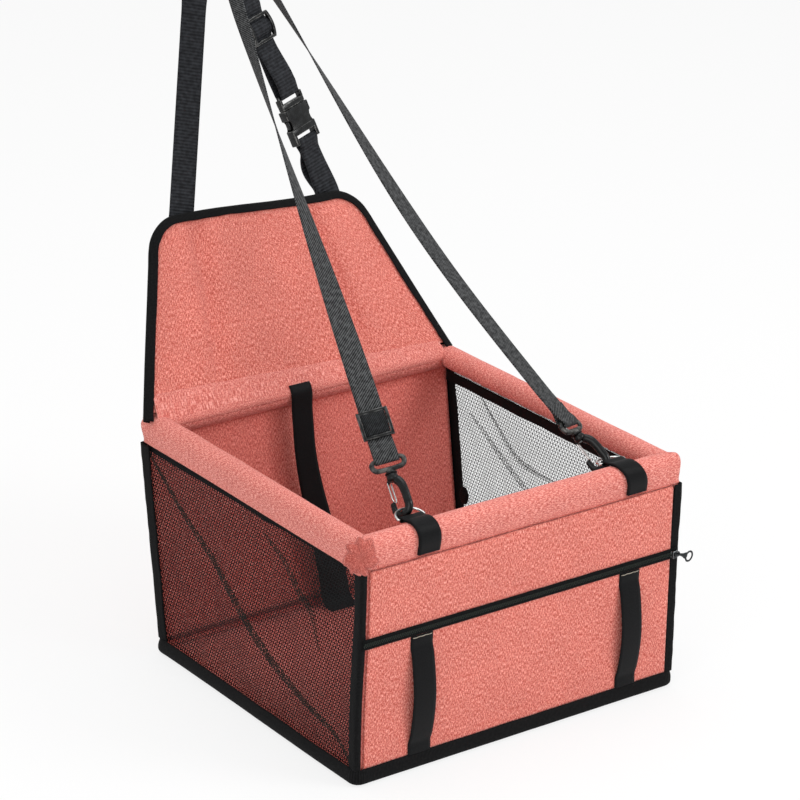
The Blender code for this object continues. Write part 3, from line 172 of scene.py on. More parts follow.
def melange_canvas(name, deep, middle, pale, thread=0.0007, slub=0.0034):
    """Canvas of uneven yarns: each thread keeps its own tone for a few millimetres.
    The real thread is about 0.5 mm. It is drawn at 0.7 mm so that it shows."""
    made = bpy.data.materials.new(name)
    tree, output = empty_tree(made)
    weave = add(tree, "ShaderNodeUVMap", uv_map="weave").outputs[0]
    tones = []
    for scale in ((1 / thread, 1 / slub, 1), (1 / slub, 1 / thread, 1)):
        along = add(tree, "ShaderNodeMapping", {"Vector": weave, "Scale": scale})
        tones.append(
            add(
                tree, "ShaderNodeTexNoise",
                {"Vector": along.outputs[0], "Scale": 1.0, "Detail": 1.5, "Roughness": 0.55},
                noise_dimensions="2D",
            ).outputs[0]
        )
    split = add(tree, "ShaderNodeSeparateXYZ", {0: weave})
    waves = []
    for axis in (0, 1):
        angle = add(
            tree, "ShaderNodeMath", {0: split.outputs[axis], 1: math.pi / thread}, operation="MULTIPLY"
        )
        waves.append(add(tree, "ShaderNodeMath", {0: angle.outputs[0]}, operation="SINE").outputs[0])
    crossing = add(tree, "ShaderNodeMath", {0: waves[0], 1: waves[1]}, operation="MULTIPLY").outputs[0]
    over = add(
        tree, "ShaderNodeMapRange",
        {"Value": crossing, "From Min": -0.5, "From Max": 0.5, "To Min": 0.40, "To Max": 1.0},
    ).outputs[0]
    yarn = add(tree, "ShaderNodeMix", {0: over, 2: tones[1], 3: tones[0]}, data_type="FLOAT").outputs[0]
    ramp = add(tree, "ShaderNodeValToRGB", {0: yarn})
    stops = ramp.color_ramp.elements
    stops[0].position, stops[0].color = 0.39, linear(deep)
    stops[1].position, stops[1].color = 0.63, linear(pale)
    centre = stops.new(0.51)
    centre.color = linear(middle)
    cloud = add(
        tree, "ShaderNodeTexNoise", {"Vector": weave, "Scale": 22.0, "Detail": 2.0},
        noise_dimensions="2D",
    ).outputs[0]
    level = add(
        tree, "ShaderNodeMapRange",
        {"Value": cloud, "From Min": 0.3, "From Max": 0.7, "To Min": 0.97, "To Max": 1.03},
    ).outputs[0]
    toned = add(
        tree, "ShaderNodeVectorMath", {0: ramp.outputs[0], "Scale": level}, operation="SCALE"
    ).outputs[0]
    shader = shader_of(
        tree, output, 0.88,
        **{"Base Color": toned, "Sheen Weight": 0.12, "Sheen Roughness": 0.5, "Specular IOR Level": 0.25},
    )
    raised = add(tree, "ShaderNodeMath", {0: crossing, 1: yarn}, operation="MULTIPLY").outputs[0]
    bump = add(
        tree, "ShaderNodeBump", {"Height": raised, "Strength": 0.5, "Distance": 0.0005}
    ).outputs[0]
    tree.links.new(bump, shader.inputs["Normal"])
    return made


def laid_grid(columns, rows, place, width=1.0, height=1.0, joined=False):
    """A grid whose points place(u, v) lays where the cloth goes. Its UV is in metres."""
    bm = bmesh.new()
    layer = bm.loops.layers.uv.new("weave")
    bmesh.ops.create_grid(bm, x_segments=columns, y_segments=rows, size=0.5, calc_uvs=True)
    for face in bm.faces:
        for loop in face.loops:
            spot = loop.vert.co
            loop[layer].uv = ((spot.x + 0.5) * width, (spot.y + 0.5) * height)
    for vert in bm.verts:
        vert.co = place(vert.co.x + 0.5, vert.co.y + 0.5)
    if joined:
        bmesh.ops.remove_doubles(bm, verts=bm.verts, dist=1e-6)
    bmesh.ops.recalc_face_normals(bm, faces=bm.faces)
    return bm


CORNER_OUT, WALL_TOP_MARGIN = 0.0050, 0.006


def finished(name, bm, material, body, replaces=(), thickness=0.0, smooth=True):
    """The piece from its bmesh: thickened, shaded, and riding on its body, if it has one of its own.
    The sewn tub is not quite square: its front left corner stands out a little."""
    if body == "tub":
        of_wall = max(vert.co.z for vert in bm.verts) < WALL_HEIGHT + WALL_TOP_MARGIN
        for vert in bm.verts:
            held = 0.9 * ease(vert.co.z, 0.05, 0.20) if of_wall else 0
            near_corner = ease(-vert.co.x, 0.10, 0.20) * ease(-vert.co.y, -0.15, 0.20)
            vert.co.x -= CORNER_OUT * (1 - held) * near_corner
    mesh = bpy.data.meshes.new(name)
    bm.to_mesh(mesh)
    bm.free()
    if smooth:
        mesh.shade_smooth()
        mesh.set_sharp_from_angle(angle=math.radians(50))
    piece = bpy.data.objects.new(name, mesh)
    bpy.context.scene.collection.objects.link(piece)
    mesh.materials.append(material)
    if thickness:
        solid = piece.modifiers.new("thickness", "SOLIDIFY")
        solid.thickness = thickness
        solid.offset = 0.0
        solid.use_even_offset = True
    if body:
        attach(piece, body)
    if replaces:
        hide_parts(*replaces)
    return piece


def ripple(a, b, seed, size=0.05):
    """Smooth unevenness between about -1 and 1."""
    return noise.noise(Vector((a / size, b / size, seed * 7.31)))


def ease(value, start, end):
    """0 before start, 1 after end, and eased between them. The start may be the larger."""
    t = min(max((value - start) / (end - start), 0), 1)
    return t * t * (3 - 2 * t)


def inside_edges(u, v, width, height, margin):
    """0 at a panel's edges and 1 further in than the margin."""
    near = min(u * width, (1 - u) * width, v * height, (1 - v) * height)
    return ease(near, 0, margin)


CORAL = melange_canvas("coral_melange_canvas", "#B84C40", "#DB7264", "#F9B0A2")
PANEL_CLOTH = 0.0016
HALF_WIDTH, HALF_DEPTH, WALL_HEIGHT, BACK_FOOT_INSET = 0.200, 0.200, 0.228, 0.035
for name, node, seed in (
    ("upper_panel_cloth", "upper_front_panel", 1),
    ("pocket_cloth", "pocket_panel", 2),
):
    low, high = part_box(node)
    wide, tall = high.x - low.x, high.z - low.z

    def on_front(u, v):
        hold = inside_edges(u, v, wide, tall, 0.03)
        x, z = low.x + u * wide, low.z + v * tall
        swell = 0.0006 * ripple(x, z, seed, 0.07) + 0.0003 * ripple(x, z, seed + 5, 0.02)
        tuck = 0.0020 * ease(z, WALL_HEIGHT - 0.0045, WALL_HEIGHT)
        return Vector((x, low.y + PANEL_CLOTH / 2 - hold * (0.0008 + swell) + tuck, z))

    bm = laid_grid(120, 40, on_front, wide, tall)
    panel = finished(name, bm, CORAL, "tub", (node,), PANEL_CLOTH)


# Walls and floor inside: canvas over boards at the front and back, and a thin quilted pad on the
# floor. The back wall leans forward to its foot. The linings run up into the rim's seam.
BOARD, SEAM_GAP, INTO_SEAM = 0.004, 0.0003, 0.003


def back_face(height):
    """Y of the back wall's outer face."""
    return HALF_DEPTH - BACK_FOOT_INSET * (1 - height / WALL_HEIGHT)


def wall_cloth(name, node, seed, face_of):
    """A lining panel over its board. face_of gives the panel's Y at a height."""
    low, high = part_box(node)
    wide, tall = high.x - low.x, high.z - low.z + INTO_SEAM

    def on_wall(u, v):
        x, z = low.x + u * wide, low.z + v * tall
        swell = inside_edges(u, v, wide, tall, 0.04) * 0.0011 * ripple(x, z, seed, 0.06)
        return Vector((x, face_of(z) + swell, z))

    bm = laid_grid(96, 56, on_wall, wide, tall)
    return finished(name, bm, CORAL_LINING_PAINTED_FILL, "tub", (node,), BOARD - 0.0002)


# The canvas of the linings and the floor pad is a brighter copy of the coral canvas: painted fill light
# inside the tub.
CORAL_LINING_PAINTED_FILL = melange_canvas("coral_melange_lining", "#C0544B", "#E27467", "#FAA89C")
low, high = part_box("front_wall")
wall_cloth("front_wall_lining", "front_wall", 11, lambda z: (low.y + high.y) / 2)
wall_cloth("back_wall_lining", "back_wall", 12, lambda z: back_face(z) - SEAM_GAP - BOARD / 2)

pad_low, pad_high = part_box("floor_panel")
pad_wide, pad_deep = pad_high.x - pad_low.x, pad_high.y - pad_low.y
PAD_EDGE, PAD_CROWN = 0.0022, 0.0034


def on_pad(u, v):
    """Once round the pad's section: its crowned top, then its flat underside."""
    top = u < 0.5
    share = 2 * u if top else 2 - 2 * u
    x, y = pad_low.x + share * pad_wide, pad_low.y + v * pad_deep
    rise = inside_edges(share, v, pad_wide, pad_deep, 0.03)
    z = pad_low.z
    if top:
        z += PAD_EDGE + rise * (PAD_CROWN + 0.0005 * ripple(x, y, 13, 0.05))
    return Vector((x, y, z))


bm = laid_grid(160, 64, on_pad, 2 * pad_wide, pad_deep, joined=True)
bmesh.ops.holes_fill(bm, edges=bm.edges, sides=400)
floor_pad = finished("floor_pad", bm, CORAL_LINING_PAINTED_FILL, "tub", ("floor_panel",))


# Mesh sides: a net of fine black polyester yarn, knitted in three directions. It is folded with the
# carrier, so it keeps crumpled creases from corner to corner.
def woven_yarn(name, base, light, roughness, pitch, direction="across", depth=0.4, ribs=0.22):
    """Woven tape or yarn: ribs of one pitch, and a faint unevenness along the threads."""
    made = bpy.data.materials.new(name)
    tree, output = empty_tree(made)
    weave = add(tree, "ShaderNodeUVMap", uv_map="weave").outputs[0]
    split = add(tree, "ShaderNodeSeparateXYZ", {0: weave})
    if direction == "across":
        along = split.outputs[1]
    elif direction == "lengthways":
        along = split.outputs[0]
    else:
        along = add(
            tree, "ShaderNodeMath", {0: split.outputs[0], 1: split.outputs[1]}, operation="ADD"
        ).outputs[0]
    angle = add(tree, "ShaderNodeMath", {0: along, 1: 2 * math.pi / pitch}, operation="MULTIPLY")
    rib = add(tree, "ShaderNodeMath", {0: angle.outputs[0]}, operation="SINE").outputs[0]
    grain = add(
        tree, "ShaderNodeTexNoise", {"Vector": weave, "Scale": 0.7 / pitch, "Detail": 2.0},
        noise_dimensions="2D",
    ).outputs[0]
    tone = add(
        tree, "ShaderNodeMath", {0: rib, 1: ribs, 2: grain}, operation="MULTIPLY_ADD"
    ).outputs[0]
    ramp = add(tree, "ShaderNodeValToRGB", {0: tone})
    first, last = ramp.color_ramp.elements
    first.position, first.color = 0.25, linear(base)
    last.position, last.color = 0.85, linear(light)
    shader = shader_of(
        tree, output, roughness,
        **{"Base Color": ramp.outputs[0], "Sheen Weight": 0.01, "Specular IOR Level": 0.12},
    )
    bump = add(tree, "ShaderNodeBump", {"Height": rib, "Strength": depth, "Distance": 0.0003})
    tree.links.new(bump.outputs[0], shader.inputs["Normal"])
    return made


NET_YARN = woven_yarn("black_polyester_net", "#08090A", "#17181A", 0.75, 0.0008, depth=0.2)
NET_PITCH, NET_YARN_THICK, NET_INSET = 0.0039, 0.00024, 0.0016
NET_SIZE = (2 * HALF_DEPTH, WALL_HEIGHT - 0.001)


def net_piece(outline_size, pitch, yarn):
    """A flat net over a rectangle: yarns in three directions, one level, cut at its edges."""
    wide, tall = outline_size
    bm = bmesh.new()
    reach = math.hypot(wide, tall) / 2
    count = int(2 * reach / pitch)
    for turn, layer in ((30, 0.5), (-30, -0.5), (90, 0.0)):
        for i in range(count + 1):
            offset = -reach + i * pitch
            place = (
                Matrix.Translation((wide / 2, tall / 2, 0))
                @ Matrix.Rotation(math.radians(turn), 4, "Z")
                @ Matrix.Translation((offset, 0, layer * NET_YARN_THICK * 0.6))
                @ Matrix.Diagonal((yarn / 2, reach, 1, 1))
            )
            bmesh.ops.create_grid(bm, x_segments=1, y_segments=36, size=1.0, matrix=place)
    for spot, normal in (
        ((0, 0, 0), (-1, 0, 0)),
        ((wide, 0, 0), (1, 0, 0)),
        ((0, 0, 0), (0, -1, 0)),
        ((0, tall, 0), (0, 1, 0)),
    ):
        everything = bm.verts[:] + bm.edges[:] + bm.faces[:]
        bmesh.ops.bisect_plane(bm, geom=everything, plane_co=spot, plane_no=normal, clear_outer=True)
    return bm


def side_point(side, along, height, off):
    """A point of a side panel: along it from the front, up it, and off its plane to the outside."""
    depth = back_face(height) + HALF_DEPTH
    return Vector((side * (HALF_WIDTH - NET_INSET + off), -HALF_DEPTH + along * depth, height))


def side_drape(side, along, height):
    """How far the net lies off its plane: crumpled by folding, held at its four edges."""
    hold = ease(min(along, 1 - along), 0, 0.12) * ease(min(height, WALL_HEIGHT - height), 0, 0.03)
    wave = ripple(along * 0.4, height, 21 + side, 0.09)
    wave += 0.4 * ripple(along * 0.4, height, 24 + side, 0.03)
    return -hold * 0.004 * (0.6 + wave)


SIDES = ((-1, "left"), (1, "right"))
for (side, name), yarn in zip(SIDES, (0.00090, 0.00054)):
    bm = net_piece(NET_SIZE, NET_PITCH, yarn)
    for vert in bm.verts:
        along, height = vert.co.x / (2 * HALF_DEPTH), vert.co.y + 0.0005
        vert.co = side_point(side, along, height, side_drape(side, along, height) + vert.co.z)
    net = finished(
        f"net_{name}", bm, NET_YARN, "tub", (f"mesh_{name}",), NET_YARN_THICK, smooth=False
    )


# Creases of the nets: where the net was folded it stays doubled, in a soft band along each crease.
# Each band is a strip of the same net, against the outside of its panel. Its yarn is a greyer copy of
# the net's black yarn, a painted highlight along the fold.
CREASE_YARN_PAINTED_HIGHLIGHT = woven_yarn("black_net_doubled", "#1B1D1B", "#363935", 0.8, 0.0008, depth=0.2)


class Route:
    """A smooth curve through points, read by the share of its length. Points may carry more."""

    def __init__(self, points, closed=False, dense=8):
        rows = [tuple(p) for p in points]
        count = len(rows)
        self.rows, self.lengths = [], [0.0]
        for i in range(count if closed else count - 1):
            if closed:
                four = [rows[(i + k) % count] for k in (-1, 0, 1, 2)]
            else:
                four = [rows[min(max(i + k, 0), count - 1)] for k in (-1, 0, 1, 2)]
            self.rows += [self.between(four, step / dense) for step in range(dense)]
        self.rows.append(rows[0] if closed else rows[-1])
        for a, b in zip(self.rows, self.rows[1:]):
            self.lengths.append(self.lengths[-1] + math.dist(a[:3], b[:3]))
        self.length = self.lengths[-1]

    @staticmethod
    def between(four, t):
        """A point of the span between the middle two of four points."""
        first, second, third, last = four
        span = math.dist(second[:3], third[:3]) or 1e-9

        def slope(a, b, c):
            near, far = math.dist(a[:3], b[:3]) or span, math.dist(b[:3], c[:3]) or span
            return [
                span * ((q - p) / near * far + (r - q) / far * near) / (near + far)
                for p, q, r in zip(a, b, c)
            ]

        leave, arrive = slope(first, second, third), slope(second, third, last)
        h = (2 * t**3 - 3 * t**2 + 1, t**3 - 2 * t**2 + t, 3 * t**2 - 2 * t**3, t**3 - t**2)
        return tuple(
            h[0] * p + h[1] * m + h[2] * q + h[3] * n for p, m, q, n in zip(second, leave, third, arrive)
        )

    def at(self, share):
        """The point at a share of the curve's length."""
        goal = min(max(share, 0.0), 1.0) * self.length
        low, high = 0, len(self.lengths) - 1
        while high - low > 1:
            middle = (low + high) // 2
            if self.lengths[middle] <= goal:
                low = middle
            else:
                high = middle
        span = self.lengths[high] - self.lengths[low]
        t = (goal - self.lengths[low]) / span if span else 0.0
        return tuple(a + (b - a) * t for a, b in zip(self.rows[low], self.rows[high]))


CREASE_LIFT = 0.0012


def crease(name, side, points, width, pitch, yarn):
    """A band of net along (y, z) points of a side panel, narrowing to its ends."""
    path = Route([(y, z, 0.0) for y, z in points])
    bm = net_piece((path.length, width), pitch, yarn)
    for vert in bm.verts:
        v, across = vert.co.x / path.length, vert.co.y / width - 0.5
        y, z, _ = path.at(v)
        before, after = path.at(v - 0.01), path.at(v + 0.01)
        along = Vector((after[0] - before[0], after[1] - before[1])).normalized()
        narrow = width * (0.35 + 0.65 * math.sin(math.pi * v)) * (1 + 0.25 * ripple(v * 0.4, 0.0, 27, 0.03))
        y, z = y - along.y * across * narrow, z + along.x * across * narrow
        share = (y + HALF_DEPTH) / (back_face(z) + HALF_DEPTH)
        off = side_drape(side, share, z) + CREASE_LIFT * (1 - 2 * abs(across)) + 0.0004 + vert.co.z
        vert.co = side_point(side, share, z, off)
    return finished(name, bm, CREASE_YARN_PAINTED_HIGHLIGHT, "tub", (), NET_YARN_THICK, smooth=False)


LONG_CREASE = [(0.192, 0.224), (0.171, 0.203), (0.132, 0.174), (0.098, 0.154), (0.052, 0.126)]
LONG_CREASE += [(0.015, 0.102), (-0.016, 0.083), (-0.083, 0.054), (-0.166, 0.030), (-0.186, 0.018)]
SHORT_CREASE = [(-0.025, 0.205), (-0.035, 0.201), (-0.066, 0.188), (-0.091, 0.165), (-0.105, 0.157)]
SHORT_CREASE += [(-0.128, 0.116)]
RIGHT_CREASES = (
    [(0.134, 0.216), (0.065, 0.165), (-0.011, 0.159)],
    [(0.150, 0.190), (0.080, 0.150), (0.010, 0.120)],
)
crease("net_crease_long", -1, LONG_CREASE, 0.0112, 0.0026, 0.00062)
crease("net_crease_short", -1, SHORT_CREASE, 0.0095, 0.0036, 0.00050)
for i, points in enumerate(RIGHT_CREASES):
    crease(f"net_wrinkle_{i + 1}", 1, points, 0.0080, 0.0039, 0.00040)


# Binding: black grosgrain tape folded over the raw edges and sewn, down the four corners,
# round the foot and inside along the top of each net.
TAPE = woven_yarn("black_polyester_grosgrain", "#070708", "#171718", 0.80, 0.0016)
TAPE_THICK = 0.0014

CORNERS = {"front_left": (-1, -1), "front_right": (1, -1), "rear_left": (-1, 1), "rear_right": (1, 1)}
FOOT_BAND, TAPE_FOLD = 0.0130, 0.0022
# How far each tape's two legs reach from its fold, along X and along Y.
LEGS = {
    "front_left": (0.0050, 0.0120), "front_right": (0.0094, 0.0100),
    "rear_left": (0.0080, 0.0150), "rear_right": (0.0080, 0.0150),
}
for index, (name, (sign_x, sign_y)) in enumerate(CORNERS.items()):
    front_leg, side_leg = LEGS[name]
    legs = [(-front_leg, 0.0), (-(front_leg + TAPE_FOLD) / 2, 0.0), (-TAPE_FOLD, 0.0)]
    legs += [(TAPE_FOLD * (math.sin(a) - 1), TAPE_FOLD * (math.cos(a) - 1)) for a in (0.4, 0.8, 1.2)]
    legs += [(0.0, -TAPE_FOLD), (0.0, -side_leg * 0.5), (0.0, -side_leg)]
    profile = Route([(a, b, 0.0) for a, b in legs])
    tall = WALL_HEIGHT - FOOT_BAND - 3 * SEAM_GAP

    def on_corner(u, v):
        height = FOOT_BAND + 2 * SEAM_GAP + v * tall
        across, deep, _ = profile.at(u)
        face = HALF_DEPTH if sign_y < 0 else back_face(height)
        wave = 1 + 0.10 * ripple(height, u * 0.004, 31 + index, 0.03)
        puff = 0.0014 + 0.0007 * math.sin(math.pi * u) + 0.0003 * ripple(height, u, 35 + index, 0.012)
        spread = 0.0010 + 0.0012 * ease(height, 0.17, 0.21) if name == "front_right" else 0.0
        out = Vector((across * wave + puff + spread, deep * wave + puff, 0))
        return Vector((sign_x * (HALF_WIDTH + out.x), sign_y * (face + out.y), height))

    bm = laid_grid(14, 90, on_corner, 0.017, tall)
    finished(
        f"corner_tape_{name}", bm, TAPE, "tub", (f"corner_binding_{name}",), TAPE_THICK
    )

foot_back = back_face(0) + BACK_FOOT_INSET * FOOT_BAND / WALL_HEIGHT
outline = []
CORNER_TURN = 0.006
for sign_x, sign_y, start in ((-1, -1, 180), (1, -1, 270), (1, 1, 0), (-1, 1, 90)):
    face = HALF_DEPTH if sign_y < 0 else foot_back
    middle = (sign_x * (HALF_WIDTH - CORNER_TURN), sign_y * (face - CORNER_TURN))
    for step in range(5):
        angle = math.radians(start + 22.5 * step)
        out = (math.cos(angle), math.sin(angle))
        outline.append((middle[0] + out[0] * CORNER_TURN, middle[1] + out[1] * CORNER_TURN, 0.0, *out))
straights = []
for i, point in enumerate(outline):
    straights.append(point)
    after = outline[(i + 1) % len(outline)]
    if i % 5 == 4:
        shares = (0.02, 0.25, 0.5, 0.75, 0.98)
        straights += [tuple(a + (b - a) * s for a, b in zip(point, after)) for s in shares]
foot_route = Route(straights, closed=True, dense=8)
foot_profile = Route(
    [
        (-0.006, -0.0016, 0), (0.0010, -0.0024, 0), (0.0040, -0.0006, 0),
        (0.0048, 0.0040, 0), (0.0040, 0.0092, 0), (0.0022, 0.0140, 0),
    ]
)


def on_foot(u, v):
    x, y, _, *out_xy = foot_route.at(v)
    out_xy = Vector(out_xy).normalized()
    out, height, _ = foot_profile.at(u)
    uneven = 0.0004 * ripple(x + y, u * 0.01, 41, 0.018) * ease(u, 0.2, 0.6)
    rise = 0.0007 * ripple(x - y, 0.0, 42, 0.04) * ease(u, 0.5, 1.0)
    return Vector((*(Vector((x, y)) + out_xy * (out + uneven)), height + rise))


bm = laid_grid(14, 600, on_foot, 0.022, foot_route.length, joined=True)
finished("foot_tape", bm, TAPE, "tub", ("foot_binding",), TAPE_THICK)

NET_TAPE = {"left": 0.0070, "right": 0.0110}
for side, name in SIDES:
    low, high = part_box(f"mesh_binding_{name}")
    x = (low.x + high.x) / 2
    long, tall = high.y - low.y, NET_TAPE[name]

    def on_strip(u, v):
        y, z = low.y + v * long, high.z - (1 - u) * tall
        sag = -0.0010 * (1 - u) * (1 + ripple(y, 0.0, 45 + side, 0.05))
        return Vector((x - side * 0.0004 * ripple(y, z, 46 + side, 0.02), y, z + sag))

    bm = laid_grid(8, 120, on_strip, tall, long)
    finished(f"net_top_tape_{name}", bm, TAPE, "tub", (f"mesh_binding_{name}",), 0.0012)


# Rim: four canvas sleeves sewn round light tubes, mitred at the corners. Their seam runs along
# the top of the walls. At the front left the cloth is bunched under the corner.
SLEEVE_RADIUS, SLEEVE_DROP, SLEEVE_INSET, SLEEVE_SEAM_OUT = 0.013, 0.020, 0.011, 0.010
RIM_AXIS, SLEEVE_CLOTH = WALL_HEIGHT + SLEEVE_DROP, 0.0018


def sleeve_ring(share, radius):
    """Once round the sleeve's section, from its seam below: out from the tub, and up."""
    angle = 2 * math.pi * share - math.pi / 2
    out, rise = math.cos(angle), math.sin(angle)
    if rise >= 0:
        return radius * out, radius * rise
    narrow = 1 - 0.8 * rise * rise
    return radius * out * narrow + SLEEVE_SEAM_OUT * rise * rise, (radius + 0.007) * rise


RIM_SIDES = {
    "front": (180, HALF_DEPTH - SLEEVE_INSET, HALF_WIDTH - SLEEVE_INSET),
    "rear": (0, HALF_DEPTH - SLEEVE_INSET, HALF_WIDTH - SLEEVE_INSET),
    "left": (90, HALF_WIDTH - SLEEVE_INSET, HALF_DEPTH - SLEEVE_INSET),
    "right": (-90, HALF_WIDTH - SLEEVE_INSET, HALF_DEPTH - SLEEVE_INSET),
}
# The rim's canvas is a lighter copy of the coral canvas: painted light on the sleeves' tops. The hinge cloth
# shares it.
CORAL_RIM_PAINTED_LIGHT = melange_canvas("coral_melange_rim", "#C25A50", "#E07C70", "#F8B4A8")
for index, (side, (direction, distance, half_length)) in enumerate(RIM_SIDES.items()):
    place = Matrix.Rotation(math.radians(direction), 4, "Z") @ Matrix.Translation((0, distance, RIM_AXIS))

    def on_sleeve(u, v):
        out, rise = sleeve_ring(u, SLEEVE_RADIUS - SLEEVE_CLOTH / 2)
        along = (2 * v - 1) * (half_length + out - SEAM_GAP)
        near_end = ease(abs(2 * v - 1), 0.93, 1.0)
        low = ease(-rise, 0.0, SLEEVE_DROP)
        loose = 0.0007 * ripple(along, u * 0.05, 51 + index, 0.035)
        loose += 0.0004 * ripple(along, u, 55 + index, 0.012)
        tuck = 0.0007 * low * (1 - low) * 4 * ripple(along, 0.0, 59 + index, 0.009)
        grow = 1 + (loose + tuck) / SLEEVE_RADIUS - 0.03 * near_end
        middle = SLEEVE_SEAM_OUT * low
        spot = place @ Vector((along, middle + (out - middle) * grow, rise * (1 + loose * 14 * (1 - low))))
        from_left = (Vector((-HALF_WIDTH, -HALF_DEPTH)) - spot.xy).length
        from_right = (Vector((HALF_WIDTH, -HALF_DEPTH)) - spot.xy).length
        bunch = ease(from_left, 0.034, 0.010)
        if bunch:
            pucker = 0.0022 * ripple(spot.x * 2 + spot.y, spot.z * 1.6, 63, 0.013)
            pucker += 0.0012 * ripple(spot.x - spot.y * 2, spot.z, 64, 0.006)
            spot += Vector((-0.7, -0.7, 0.2)) * bunch * pucker
            spot.z -= bunch * 0.0030 * low
        peak = ease(from_right, 0.016, 0.002)
        spot += Vector((0.0012, -0.0008, 0.0045)) * peak * ease(rise, -0.004, 0.011)
        spot += Vector((0.0022, -0.0010, 0.0)) * peak * low
        return spot

    bm = laid_grid(56, 200, on_sleeve, 0.088, 2 * half_length, joined=True)
    finished(f"rim_cloth_{side}", bm, CORAL_RIM_PAINTED_LIGHT, "tub", (f"rim_sleeve_{side}",), 0.0012)


# Seam under the front sleeve: the two layers of canvas are folded in and sewn together there,
# which leaves a thin rolled line that wavers a little. Its dark cloth is painted shade, the shadow line
# under the sleeve.
SEAM_PAINTED_SHADE = melange_canvas("coral_seam_fold", "#6E2F29", "#8E443C", "#B8655B", 0.0008, 0.0030)


def on_seam(u, v):
    x = (2 * v - 1) * (HALF_WIDTH - 0.0015)
    angle = 2 * math.pi * u
    radius = 0.0007 + 0.00025 * ripple(x, 0.0, 66, 0.008)
    z = WALL_HEIGHT - 0.0003 + 0.0005 * ripple(x, 0.0, 67, 0.030) + radius * math.sin(angle)
    return Vector((x, -HALF_DEPTH - 0.0012 + radius * math.cos(angle), z))


bm = laid_grid(8, 400, on_seam, 0.004, 2 * HALF_WIDTH, joined=True)
bmesh.ops.holes_fill(bm, edges=bm.edges, sides=20)
finished("front_seam_fold", bm, SEAM_PAINTED_SHADE, "tub")


# Seam at the floor's back edge: the pad's canvas is rolled under there and sewn to the back wall.
# It lies in shade, and its darker cloth, the same as the front seam's, is painted shade along the joint.
def on_floor_seam(u, v):
    x = (2 * v - 1) * (HALF_WIDTH - 0.008)
    angle = 2 * math.pi * u
    radius = 0.0024 + 0.0004 * ripple(x, 0.0, 76, 0.012)
    height = 0.0125 + 0.0008 * ripple(x, 0.0, 77, 0.040)
    y = back_face(height) - BOARD - 0.0026 + radius * math.cos(angle)
    return Vector((x, y, height + radius * math.sin(angle)))


bm = laid_grid(10, 200, on_floor_seam, 0.014, 2 * HALF_WIDTH, joined=True)
bmesh.ops.holes_fill(bm, edges=bm.edges, sides=20)
finished("floor_seam_fold", bm, SEAM_PAINTED_SHADE, "tub")


# Tape end: black grosgrain. At the rear right the binding's spare end is folded double and
# stands out inside the corner.
TAPE_END_AT = Vector((HALF_WIDTH - 0.0075, back_face(0.08) - 0.0265, 0.090))


def on_tape_end(u, v):
    around, polar = 2 * math.pi * u, math.pi * v
    ring = math.sin(polar)
    bulge = 1 + 0.18 * ripple(math.cos(around) * 0.01, math.sin(around) * 0.01, 78, 0.010)
    spot = Vector((0.0026 * math.cos(around), 0.0080 * math.sin(around), 0)) * ring * bulge
    spot.z = 0.0105 * math.cos(polar)
    return TAPE_END_AT + spot


bm = laid_grid(36, 24, on_tape_end, 0.03, 0.02, joined=True)
finished("tape_end_rear_right", bm, TAPE, "tub")


# Gathered corner: at the front left the sleeve's spare cloth is bunched up and sewn down in a
# small rosette. Its canvas is a darker copy of the coral canvas, painted shade in the bunched folds.
BUNCH_PAINTED_SHADE = melange_canvas("coral_melange_gathered", "#9A4239", "#B9574C", "#DC8579")
BUNCH_AT, BUNCH_WIDE, BUNCH_TALL, PUCKERS = Vector((-0.1965, -0.1965, 0.2435)), 0.0160, 0.0180, 7
outward = Vector((-0.55, -0.80, 0.22)).normalized()
bunch_side = outward.cross(Vector((0, 0, 1))).normalized()
bunch_up = bunch_side.cross(outward)


def on_bunch(u, v):
    around, polar = 2 * math.pi * u, math.pi * v
    ring = math.sin(polar)
    radial = Vector((math.cos(around), math.sin(around)))
    wave = ripple(radial.x * 0.02, radial.y * 0.02, 68, 0.012)
    pleat = math.sin(PUCKERS * around + 2.5 * wave + 2.0 * polar) * ring
    size = 1 + 0.10 * pleat + 0.20 * wave * ring
    dimple = 1 - 0.30 * math.exp(-((polar / 0.42) ** 2))
    spot = bunch_side * radial.x * ring * BUNCH_WIDE + bunch_up * radial.y * ring * BUNCH_TALL
    spot += outward * math.cos(polar) * BUNCH_WIDE * 0.62 * dimple
    return BUNCH_AT + spot * size


bm = laid_grid(180, 90, on_bunch, 0.10, 0.05, joined=True)
finished("gathered_corner", bm, BUNCH_PAINTED_SHADE, "tub")


# Zip: woven tape with a nylon coil of some two hundred turns, a cast slider and its pull.
low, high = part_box("zip_tape")
ZIP_HEIGHT = (low.z + high.z) / 2
zip_back, zip_width, zip_half = high.y, high.z - low.z, (high.x - low.x) / 2
ZIP_TAPE = woven_yarn("black_polyester_zip_tape", "#070808", "#141516", 0.85, 0.0010, "lengthways")
COIL_NYLON = woven_yarn("black_nylon_zip_coil", "#161917", "#4C544E", 0.40, 0.0030)
tape_y = zip_back - 0.0006


def on_zip(u, v):
    x = -zip_half + v * 2 * zip_half
    edge = 0.0004 * ripple(x, u, 61, 0.02)
    z = ZIP_HEIGHT + (u - 0.5) * (zip_width + edge)
    return Vector((x, tape_y - 0.0002 * math.sin(math.pi * u), z))


bm = laid_grid(8, 160, on_zip, zip_width, 2 * zip_half)
finished("zip_tape_cloth", bm, ZIP_TAPE, "tub", ("zip_tape",), 0.0008)

